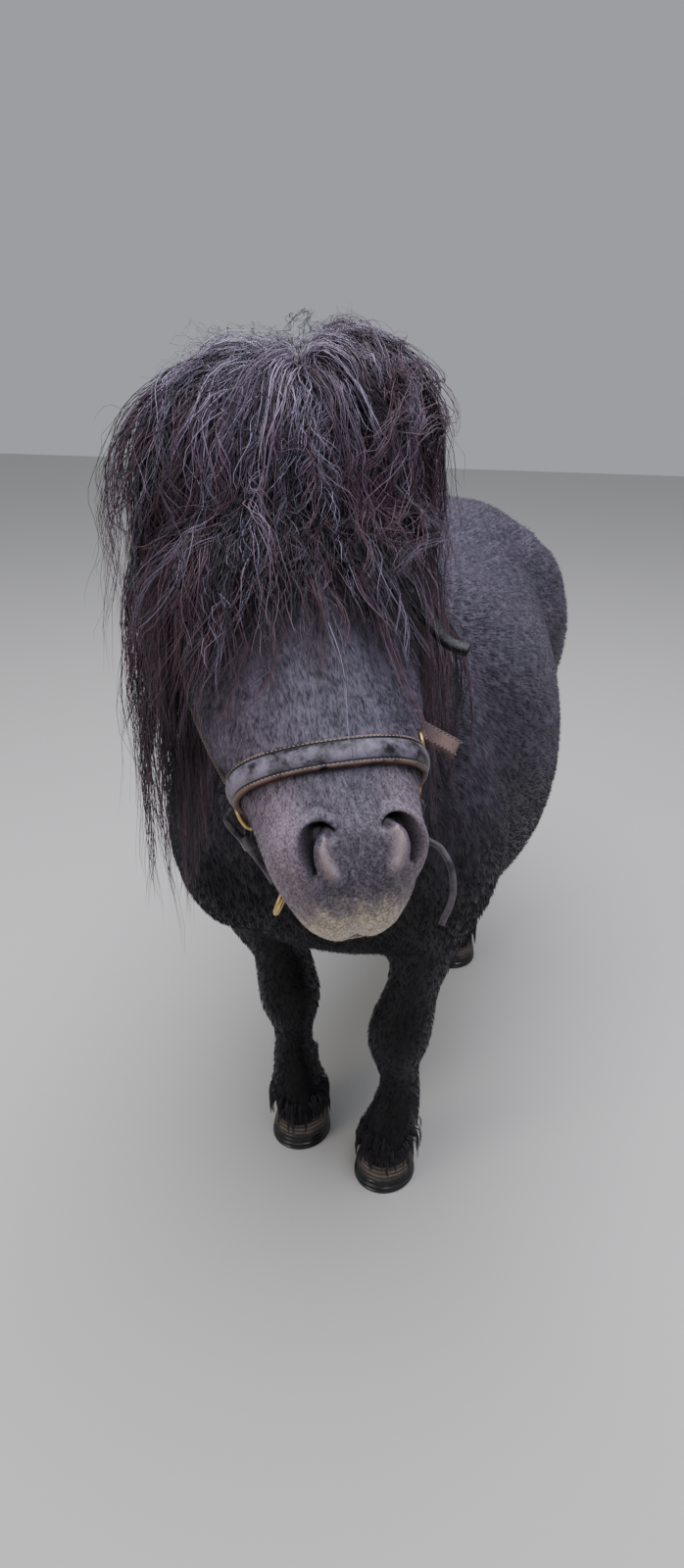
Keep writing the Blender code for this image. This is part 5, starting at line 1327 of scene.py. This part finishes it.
def make_mane(body):
    """The mane: it falls to both sides of the crest, longest behind the ears, and only there on the left."""
    core = mane_core()
    surface = surface_of(body, core)
    made = [core]
    for layer, (clearance, counts, each, width, length, up, darkest, lightest) in enumerate(MANE_LAYERS):
        for side, out in (("l", 1), ("r", -1)):
            clumps = []
            for i in range(counts[side]):
                t = MANE_ENDS[side] * ((i + fixed.random()) / counts[side]) ** MANE_GATHERS[side]
                root = crest_point(t) + Vector((-out * 0.010 * fixed.random(), 0, MANE_CORE[0] * 0.8))
                heading = Vector((out, 0.22 * fixed.uniform(-1, 1), up * fixed.uniform(0.5, 1.5)))
                extent = length * (1 - MANE_SHORTENS * t) * fixed.uniform(0.72, 1.12) * (1.12 if out < 0 else 1.0)
                droop = MANE_DROOP_BEHIND + (MANE_DROOP[out > 0] - MANE_DROOP_BEHIND) * (1 - t) ** 2
                path, facing = fall(root, heading, extent, surface, clearance, droop * fixed.uniform(0.85, 1.15), 17)
                place = (0.02 + 0.96 * t, (layer + 0.1 + 0.8 * fixed.random()) / 3)
                tone = darkest + (lightest - darkest) * fixed.random() ** 1.6
                clumps.append((path, facing, place, tone, 0.9 * (fixed.random() < 0.40)))
            made.append(hair_piece(f"mane_{side}_{layer + 1}", clumps, each, {**MANE_LOOK, "width": width}))
    cut_by_plane(core, PARTING, -Vector((FACE.x, FACE.y, 0)).normalized())
    return made


def make_tail(body):
    """A full tail that hangs to the hocks."""
    core = lofted("tail_core", leg_rings(DOCK_ROWS[2:]))
    surface = surface_of(body)
    clumps = []
    for i in range(TAIL_CLUMPS):
        t = fixed.random() ** 1.3
        angle = 2 * math.pi * fixed.random()
        way = Vector((math.sin(angle), math.cos(angle), 0))
        root = TAIL_TOP + TAIL_RUN * t + way * 0.010
        heading = way * 0.35 + Vector((0, 0.14, -0.60 + 0.5 * (1 - t)))
        extent = (0.60 - 0.05 * t) * fixed.uniform(0.80, 1.08)
        path, _ = fall(root, heading, extent, surface, 0.018, 0.06, TAIL_POINTS)
        place = (0.02 + 0.96 * angle / (2 * math.pi), 0.02 + 0.96 * t)
        clumps.append((path, [way] * TAIL_POINTS, place, 0.6 * fixed.random() ** 1.5, 0.8 * (fixed.random() < 0.3)))
    return [core, hair_piece("tail_hair", clumps, 9, TAIL_LOOK)]


def make_feathers(body):
    """Long hair behind each fetlock, and the fringe over the top of each hoof."""
    surface = surface_of(body)
    clumps = []
    for index, (kind, side) in enumerate((kind, side) for kind in LEGS for side in "lr"):
        rows, shift = LEGS[kind]
        foot = shifted(rows, side, shift)[-1][:2]
        for i in range(FEATHER_CLUMPS):
            tuft = FETLOCK if i < FETLOCK_CLUMPS else FRINGE
            angle = 2 * math.pi * fixed.random()
            height = fixed.uniform(*tuft["height"])
            if tuft is FETLOCK:
                angle = math.radians(20) * fixed.uniform(-1, 1)
            way = Vector((math.sin(angle), math.cos(angle), 0))
            root = Vector((foot[0], foot[1] + tuft["back"], height)) + way * tuft["radius"]
            length = fixed.uniform(*tuft["length"])
            path, _ = fall(root, way * 0.12 + Vector((0, 0, -1)), length, surface, 0.0008, tuft["droop"], 6)
            path = [Vector((point.x, point.y, max(point.z, 0.007))) for point in path]
            place = (0.02 + 0.22 * (angle / (2 * math.pi) % 1) + 0.24 * index, 0.05 + 0.9 * height / 0.17)
            clumps.append((path, [way] * 6, place, 0.30 * fixed.random(), 0.0))
    return hair_piece("feathers", clumps, 9, FEATHER_LOOK)


# Short coat

def region_of(points):
    """0 torso, 1 neck, 2 head, 3 front legs, 4 hind legs."""
    region = np.zeros(len(points), int)
    head_side = (points - np.array(HEAD_CUT[0])) @ np.array(HEAD_CUT[1])
    neck_side = (points - np.array(NECK_CUT[0])) @ np.array(NECK_CUT[1])
    region[neck_side > 0] = 1
    region[head_side > 0] = 2
    region[(points[:, 2] < FORE_TOP) & (points[:, 1] < FORE_BEHIND)] = 3
    region[(points[:, 2] < HIND_TOP) & (points[:, 1] > HIND_BEFORE)] = 4
    return region


def lie_of(points, normals, region):
    """The way the coat lies: back along the body, down the legs and chest, and down the face."""
    face, brow = np.array(FACE), np.array(BROW)
    count = len(points)
    front = (1 - fade(points[:, 1], -0.08, 0.12))[:, None]
    rump = fade(points[:, 1], 0.68, 0.86)[:, None]
    back, down = np.array([0, 1.0, -0.30]), np.array([0, 0.25, -1.0])
    torso = back * (1 - front) * (1 - rump) + down * (front + rump)
    lie = np.where((region == 0)[:, None], torso, np.broadcast_to(down, (count, 3)))
    lie = np.where((region == 1)[:, None], np.array([0, 0.80, -0.62]), lie)
    _, out, rise = head_frame(points)
    cheek = fade(-rise, 0.02, 0.12)[:, None]
    on_head = face * (1 - 0.35 * cheek) - brow * 0.55 * cheek
    lie = np.where((region == 2)[:, None], on_head, lie)
    lie = lie + 0.10 * draw.normal(size=(count, 3))
    return unit(lie - normals * np.sum(lie * normals, axis=1, keepdims=True))


def map_places(points, region):
    """Each root's place on an unwrap of the skin: round the body, the neck, the head or a leg, and along it."""
    x, y, z = points.T
    down, out, rise = head_frame(points)
    round_body = np.arctan2(x, z - 0.70) / (2 * math.pi) + 0.5
    round_head = np.arctan2(out, rise + 0.09) / (2 * math.pi) + 0.5
    middle = np.where(region == 3, -0.02 + 0.5 * (FORE_SHIFT["l"] + FORE_SHIFT["r"]), 0.70)
    round_leg = np.arctan2(np.abs(x) - 0.10, y - middle) / (2 * math.pi) + 0.5
    across = np.where(region == 2, round_head, round_body)
    across = np.where(region >= 3, 0.5 * round_leg + 0.5 * (x > 0), across)
    along = np.where(region == 0, (y + 0.20) / 1.15, (y + 0.45) / 0.60)
    along = np.where(region == 2, (down + 0.08) / 0.56, along)
    along = np.where(region >= 3, z / 0.53, along)
    return 0.01 + 0.98 * np.clip(np.stack([across, along], axis=1), 0, 1)


def coat_piece(name, region, mine, places, normals, hollow):
    """Thin tufts, each a closed sliver of four points, lying along the coat."""
    _, _, usual_length, usual_half = COAT[region]
    places, normals, hollow = places[mine], normals[mine], hollow[mine]
    count = len(places)
    lie = lie_of(places, normals, np.full(count, region))
    across = np.cross(lie, normals)
    down, _, _ = head_frame(places)
    shorter = 1 - 0.50 * fade(down, 0.30, 0.40) if region == 2 else np.ones(count)
    length = usual_length * draw.uniform(0.75, 1.25, count) * shorter
    half = usual_half * draw.uniform(0.7, 1.3, count) * shorter
    deep = coat_depth(places) * draw.uniform(0.35, 0.95, count)
    length, half, deep = length[:, None], half[:, None], deep[:, None]
    root = places - normals * 0.0004
    ridge = root + lie * length * 0.35 + normals * (deep * 0.45 + half * 0.9)
    tip = root + lie * length + normals * deep
    points = np.stack([root - across * half, root + across * half, ridge, tip], axis=1)
    faces = np.array([(0, 1, 2), (0, 2, 3), (2, 1, 3), (1, 0, 3)])
    faces = faces[None] + (np.arange(count) * 4)[:, None, None]
    corners = PATCH * np.array([(-1, -1), (1, -1), (0, 0), (0, 1)])
    maps = map_places(places, np.full(count, region))[:, None, :] + corners[None]
    shade = {"shade": np.repeat(draw.random(count), 4), "hollow": np.repeat(hollow, 4)}
    return mesh_from(name, points.reshape(-1, 3), faces.reshape(-1, 3), maps.reshape(-1, 2), shade)


def make_coat(skin):
    """Sows tufts over the skin, evenly within each region, and leaves the eyes, nostrils and lips bare."""
    points, normals, triangles = mesh_arrays(skin)
    hollow = np.empty(len(points))
    skin.data.attributes["hollow"].data.foreach_get("value", hollow)
    a, b, c = (points[triangles[:, k]] for k in range(3))
    area = np.linalg.norm(np.cross(b - a, c - a), axis=1) / 2
    middle = (a + b + c) / 3
    region = region_of(middle)
    area[hollow[triangles].max(axis=1) > BARE_FROM] = 0
    area[middle[:, 2] < COAT_ENDS] = 0
    made = []
    for kind, (name, count, _, _) in enumerate(COAT):
        weight = np.where(region == kind, area, 0)
        picked = draw.choice(len(triangles), count, p=weight / weight.sum())
        s, t = draw.random(count), draw.random(count)
        turned = s + t > 1
        s[turned], t[turned] = 1 - s[turned], 1 - t[turned]
        shares = np.stack([1 - s - t, s, t], axis=1)[:, :, None]
        places = (points[triangles[picked]] * shares).sum(axis=1)
        facing = unit((normals[triangles[picked]] * shares).sum(axis=1))
        # The tufts carry the skin's painted shade and highlight.
        depth = (hollow[triangles[picked]] * shares[:, :, 0]).sum(axis=1)
        pieces = {name: np.ones(count, bool)}
        if name == "torso":
            left, rear = places[:, 0] > 0, places[:, 1] > TORSO_PARTED
            pieces = {"torso_front_l": left & ~rear, "torso_front_r": ~left & ~rear,
                         "torso_rear_l": left & rear, "torso_rear_r": ~left & rear}
        made += [coat_piece(f"coat_{piece}", kind, mine, places, facing, depth) for piece, mine in pieces.items()]
    return made


# Headcollar

def cast(surface, down, angle):
    """A point on the head at a distance down the face and an angle round it, 90 degrees being the bridge."""
    angle = math.radians(angle)
    way = SIDE * math.cos(angle) + BROW * math.sin(angle)
    middle = head_point(down, 0, -0.070)
    point, normal, _, _ = surface.ray_cast(middle + way * 0.30, -way)
    if point is None:
        return middle + way * 0.08, way
    return point, (normal + way * 1.2).normalized()


def strap_path(surface, turns, steps):
    """Reads a smooth path over the head from a few (down, angle) pairs."""
    points = [cast(surface, down, angle) for down, angle in smooth_rows(turns, steps)]
    path, facing = [point for point, _ in points], [normal for _, normal in points]
    for _ in range(6):
        path = [path[0]] + [(a + b * 2 + c) / 4 for a, b, c in zip(path, path[1:], path[2:])] + [path[-1]]
        facing = ([facing[0]] + [(a + b + c).normalized() for a, b, c in zip(facing, facing[1:], facing[2:])]
                  + [facing[-1]])
    return path, facing


def way_at(path, i):
    """The direction of a path at its point i."""
    return (path[min(i + 1, len(path) - 1)] - path[max(i - 1, 0)]).normalized()


def strap_axes(path, facing, i):
    """The way across a strap at its point i, and the way out from it."""
    along = way_at(path, i)
    outward = (facing[i] - along * facing[i].dot(along)).normalized()
    return along.cross(outward), outward


def strap(name, path, facing, width, thickness, profile=FLAT):
    """A strap lying along a path, its section given as shares of its half width and thickness."""
    section = profile + [(-share, height) for share, height in reversed(profile[:-1])]
    rings = []
    for i, point in enumerate(path):
        across, outward = strap_axes(path, facing, i)
        rings.append([point + across * (width / 2 * share) + outward * (thickness * height - SUNK * (height == 0))
                      for share, height in section])
    made = lofted(name, rings)
    set_values(made.data, "across", [abs(share) for share, _ in section] * len(rings))
    return made


def round_strap(name, path, radius):
    """A rolled strap or a lace, round in section."""
    rings = []
    side = way_at(path, 0).orthogonal()
    for i, point in enumerate(path):
        along = way_at(path, i)
        side = (side - along * side.dot(along)).normalized()
        rings.append(ring(point, side, along.cross(side), radius, radius, radius, BAR_SIDES))
    return lofted(name, rings)


def hoop(name, centre, normal, radius, thickness):
    """A ring of round bar."""
    normal = normal.normalized()
    side = normal.orthogonal().normalized()
    other = normal.cross(side)
    rings = []
    for i in range(HOOP_STEPS):
        angle = 2 * math.pi * i / HOOP_STEPS
        way = side * math.cos(angle) + other * math.sin(angle)
        rings.append(ring(centre + way * radius, way, normal, thickness, thickness, thickness, BAR_SIDES))
    return lofted(name, rings, True)


def keeper(name, path, half_wide, half_thick):
    """A leather keeper wrapped round two rolled straps."""
    rings = []
    for i, point in enumerate(path):
        along = way_at(path, i)
        up = (BROW - along * BROW.dot(along)).normalized()
        rings.append(ring(point, up, along.cross(up), half_wide, half_thick, half_thick, 24))
    return lofted(name, rings)


def on_head_path(places, steps):
    """A smooth path through a few places in the head's own axes."""
    return [Vector(row) for row in smooth_rows([tuple(head_point(*place)) for place in places], steps)]


def stitch_tree(thread):
    """Lays rounded stitches along every line it is given."""
    tree = bpy.data.node_groups.new("stitches", "GeometryNodeTree")
    for name, way, kind in (("Lines", "INPUT", "Geometry"), ("Spacing", "INPUT", "Float"),
                            ("Thickness", "INPUT", "Float"), ("Stitches", "OUTPUT", "Geometry")):
        tree.interface.new_socket(name, in_out=way, socket_type=f"NodeSocket{kind}")
    given = tree.nodes.new("NodeGroupInput").outputs
    curve = add_node(tree, "GeometryNodeMeshToCurve", {0: given["Lines"]}).outputs[0]
    spaced = add_node(tree, "GeometryNodeResampleCurve", {"Curve": curve, "Length": given["Spacing"]},
                      mode="LENGTH").outputs[0]
    tangent = add_node(tree, "GeometryNodeInputTangent").outputs[0]
    turned = add_node(tree, "FunctionNodeAlignRotationToVector", {"Vector": tangent}, axis="Z").outputs[0]
    bead = add_node(tree, "GeometryNodeMeshUVSphere", {"Segments": 8, "Rings": 6, "Radius": given["Thickness"]})
    longer = add_node(tree, "GeometryNodeTransform", {0: bead.outputs[0], "Scale": (1.0, 1.0, 2.6)}).outputs[0]
    laid = add_node(tree, "GeometryNodeInstanceOnPoints", {"Points": spaced, "Instance": longer, "Rotation": turned})
    whole = add_node(tree, "GeometryNodeRealizeInstances", {0: laid.outputs[0]}).outputs[0]
    made = add_node(tree, "GeometryNodeSetMaterial", {"Geometry": whole, "Material": thread}).outputs[0]
    tree.links.new(made, tree.nodes.new("NodeGroupOutput").inputs[0])
    return tree


def sew(name, path, facing, width, height, share, spacing=0.0036, thickness=0.00040):
    """Two rows of stitches along a strap, at a share of its half width to each side, as one mesh."""
    points = []
    for sign in (-1, 1):
        for i, point in enumerate(path):
            across, outward = strap_axes(path, facing, i)
            points.append(point + across * (width / 2 * sign * share) + outward * height)
    edges = [(i, i + 1) for i in range(len(points) - 1) if i + 1 != len(path)]
    mesh = bpy.data.meshes.new(name)
    mesh.from_pydata(points, edges, [])
    made = bpy.data.objects.new(name, mesh)
    bpy.context.scene.collection.objects.link(made)
    laid = made.modifiers.new("stitches", "NODES")
    laid.node_group = stitches
    for item in stitches.interface.items_tree:
        if item.in_out == "INPUT" and item.name in ("Spacing", "Thickness"):
            laid[item.identifier] = spacing if item.name == "Spacing" else thickness
    wear(apply_modifiers(made), "thread")


def wear(obj, finish_name, *nodes):
    """Hands over a piece of the headcollar in one of its finishes."""
    finish(obj, worn[finish_name], nodes)


def make_noseband(surface):
    """The padded, sewn noseband."""
    turns = [(NOSE_DOWN + further, angle) for further, angle in NOSEBAND_TURNS]
    path, facing = strap_path(surface, turns, 22)
    wear(strap("noseband_shown", path, facing, 0.024, 0.0052, PADDED), "nose", "noseband")
    sew("noseband_stitches", path, facing, 0.024, 0.0030, 0.84, thickness=0.00045)


def make_chin_straps():
    """Rolled straps from the noseband's rings to the chin ring, which is drawn to the right."""
    ring_at = head_point(0.386, -0.049, -0.139)
    wear(hoop("chin_ring_shown", ring_at, FACE * 0.5 + SIDE * 0.8, 0.0125, 0.0024), "brass", "chin_ring")
    for name, pair in CHIN_COURSES.items():
        first, second = (on_head_path(course, 12) for course in pair)
        wear(round_strap(f"{name}_shown", first, 0.0030), "rolled", name)
        wear(round_strap(f"{name}_second", second, 0.0030), "rolled")
        middle = [(a + b) / 2 for a, b in zip(first, second)]
        wear(keeper(f"{name}_keeper", middle[20:27], 0.0090, 0.0048), "rolled")


def make_loose_ends():
    """The buckle on the left cheek and the ends of straps that stand away from the face."""
    path = on_head_path(BROWN_END, 14)
    facing = [BROW] * len(path)
    wear(strap("strap_end_brown_shown", path, facing, 0.017, 0.0028), "brown", "strap_end_brown")
    sew("brown_end_stitches", path, facing, 0.017, 0.0028, SEAM, 0.0034)
    path = on_head_path(BLACK_END, 10)
    wear(strap("strap_end_black_shown", path, [BROW] * len(path), 0.012, 0.0040, ROUNDED), "black",
         "strap_end_black")
    wear(round_strap("lace_shown", on_head_path(LACE, 12), 0.0029), "rolled", "lace")
    centre = head_point(0.294, 0.082, -0.065)
    wear(hoop("buckle_shown", centre, SIDE, 0.0125, 0.0018), "brass", "buckle")
    tongue = [centre + FACE * reach + SIDE * 0.0028 for reach in (-0.0125, -0.004, 0.006, 0.0138)]
    wear(round_strap("buckle_tongue", tongue, 0.0012), "brass")


def make_headcollar(surface):
    """The straps and fittings, from the nose up."""
    make_noseband(surface)
    for side, sign in (("l", 1), ("r", -1)):
        point, normal = cast(surface, NOSE_DOWN + 0.012, 90 - sign * 106)
        wear(hoop(f"side_ring_{side}_shown", point + normal * 0.0050, normal, 0.0130, 0.0022), "brass",
             f"side_ring_{side}")
        turns = [(down, angle if sign > 0 else 180 - angle) for down, angle in CHEEK_TURNS]
        path, facing = strap_path(surface, turns, 18)
        wear(strap(f"cheek_strap_{side}_shown", path, facing, 0.019, 0.0036), "strap", f"cheek_strap_{side}")
        sew(f"cheek_stitches_{side}", path, facing, 0.019, 0.0036, SEAM)
    make_chin_straps()
    make_loose_ends()
    for name, turns, width, thickness in OVER_THE_HEAD:
        path, facing = strap_path(surface, turns, 12)
        wear(strap(f"{name}_shown", path, facing, width, thickness), "strap", name)


# Camera, light and floor

def make_camera():
    level = Vector((-math.sin(VIEW_YAW), math.cos(VIEW_YAW), 0))
    right = Vector((math.cos(VIEW_YAW), math.sin(VIEW_YAW), 0))
    forward = level * math.cos(VIEW_DOWN) - Vector((0, 0, math.sin(VIEW_DOWN)))
    data = bpy.data.cameras.new("camera")
    data.sensor_width = SENSOR
    data.lens = VIEW_PIXELS / PICTURE_HEIGHT * SENSOR
    camera = bpy.data.objects.new("camera", data)
    turn = Matrix((right, right.cross(forward), -forward)).transposed().to_4x4()
    camera.matrix_world = Matrix.Translation(MOVED - level * VIEW_BACK + Vector((0, 0, VIEW_HEIGHT))) @ turn
    bpy.context.scene.collection.objects.link(camera)
    bpy.context.scene.camera = camera


def make_floor():
    made, tree, shader = new_material("pale studio floor")
    feed(tree, shader, {"Base Color": linear("#c6c4bf"), "Roughness": 0.85})
    bm = bmesh.new()
    bmesh.ops.create_grid(bm, x_segments=1, y_segments=1, size=9.0)
    floor = object_from("floor", bm)
    floor.data.materials.append(made)


def add_light(name, place, aim, size, power, colour):
    """A round area light turned towards its aim."""
    data = bpy.data.lights.new(name, "AREA")
    data.shape = "DISK"
    data.size = size
    data.energy = power
    data.color = linear(colour)[:3]
    light = bpy.data.objects.new(name, data)
    light.location = place
    light.rotation_mode = "QUATERNION"
    light.rotation_quaternion = (Vector(aim) - Vector(place)).to_track_quat("-Z", "Y")
    bpy.context.scene.collection.objects.link(light)


def make_light():
    world = bpy.data.worlds.new("studio")
    world.use_nodes = True
    feed(world.node_tree, world.node_tree.nodes["Background"], {0: linear("#e4e8f0"), 1: 0.48})
    bpy.context.scene.world = world
    add_light("overhead", (0.3, -0.4, 4.2), (0, 0, 0.6), 4.0, 260.0, "#f1f2ff")
    add_light("front", (-2.4, -3.2, 2.6), (0, -0.2, 0.7), 2.2, 42.0, "#fff6ea")
    bpy.context.scene.view_settings.view_transform = "AgX"


make_camera()
make_floor()
make_light()

coat_finish = coat_material("short black coat", True)
tuft_finish = coat_material("black coat tufts", False)
hair_finish = hair_material()
horn_finish = horn_material()
eye_finish = eye_material()
worn = {name: leather_material(*looks) for name, looks in LEATHERS.items()}
worn["brass"] = brass_material()
worn["thread"] = thread_material()
stitches = stitch_tree(worn["thread"])

flesh = model_flesh()
outer = surface_of(flesh)
body = flesh.copy()
body.data = flesh.data.copy()
skin = make_skin(flesh)
coat = make_coat(skin)
finish(skin, coat_finish, SKIN_NODES)
for piece in coat:
    finish(piece, tuft_finish)

for side, out in (("l", 1), ("r", -1)):
    finish(make_ear(f"ear_{side}_shown", out), coat_finish, [f"ear_{side}"])
    finish(make_eye(f"eye_{side}_shown", out), eye_finish, [f"eye_{side}"])
    for kind, (rows, shift) in LEGS.items():
        hoof = make_hoof(f"hoof_{kind}_{side}_shown", shifted(rows, side, shift)[-1][:2])
        finish(hoof, horn_finish, [f"hoof_{kind}_{side}"])

for maker, node in ((make_forelock, "forelock"), (make_mane, "mane"), (make_tail, "tail")):
    core, *strands = maker(body)
    finish(core, hair_finish, [node])
    for piece in strands:
        finish(piece, hair_finish)
finish(make_feathers(body), hair_finish)

make_headcollar(outer)
bpy.data.objects.remove(body, do_unlink=True)
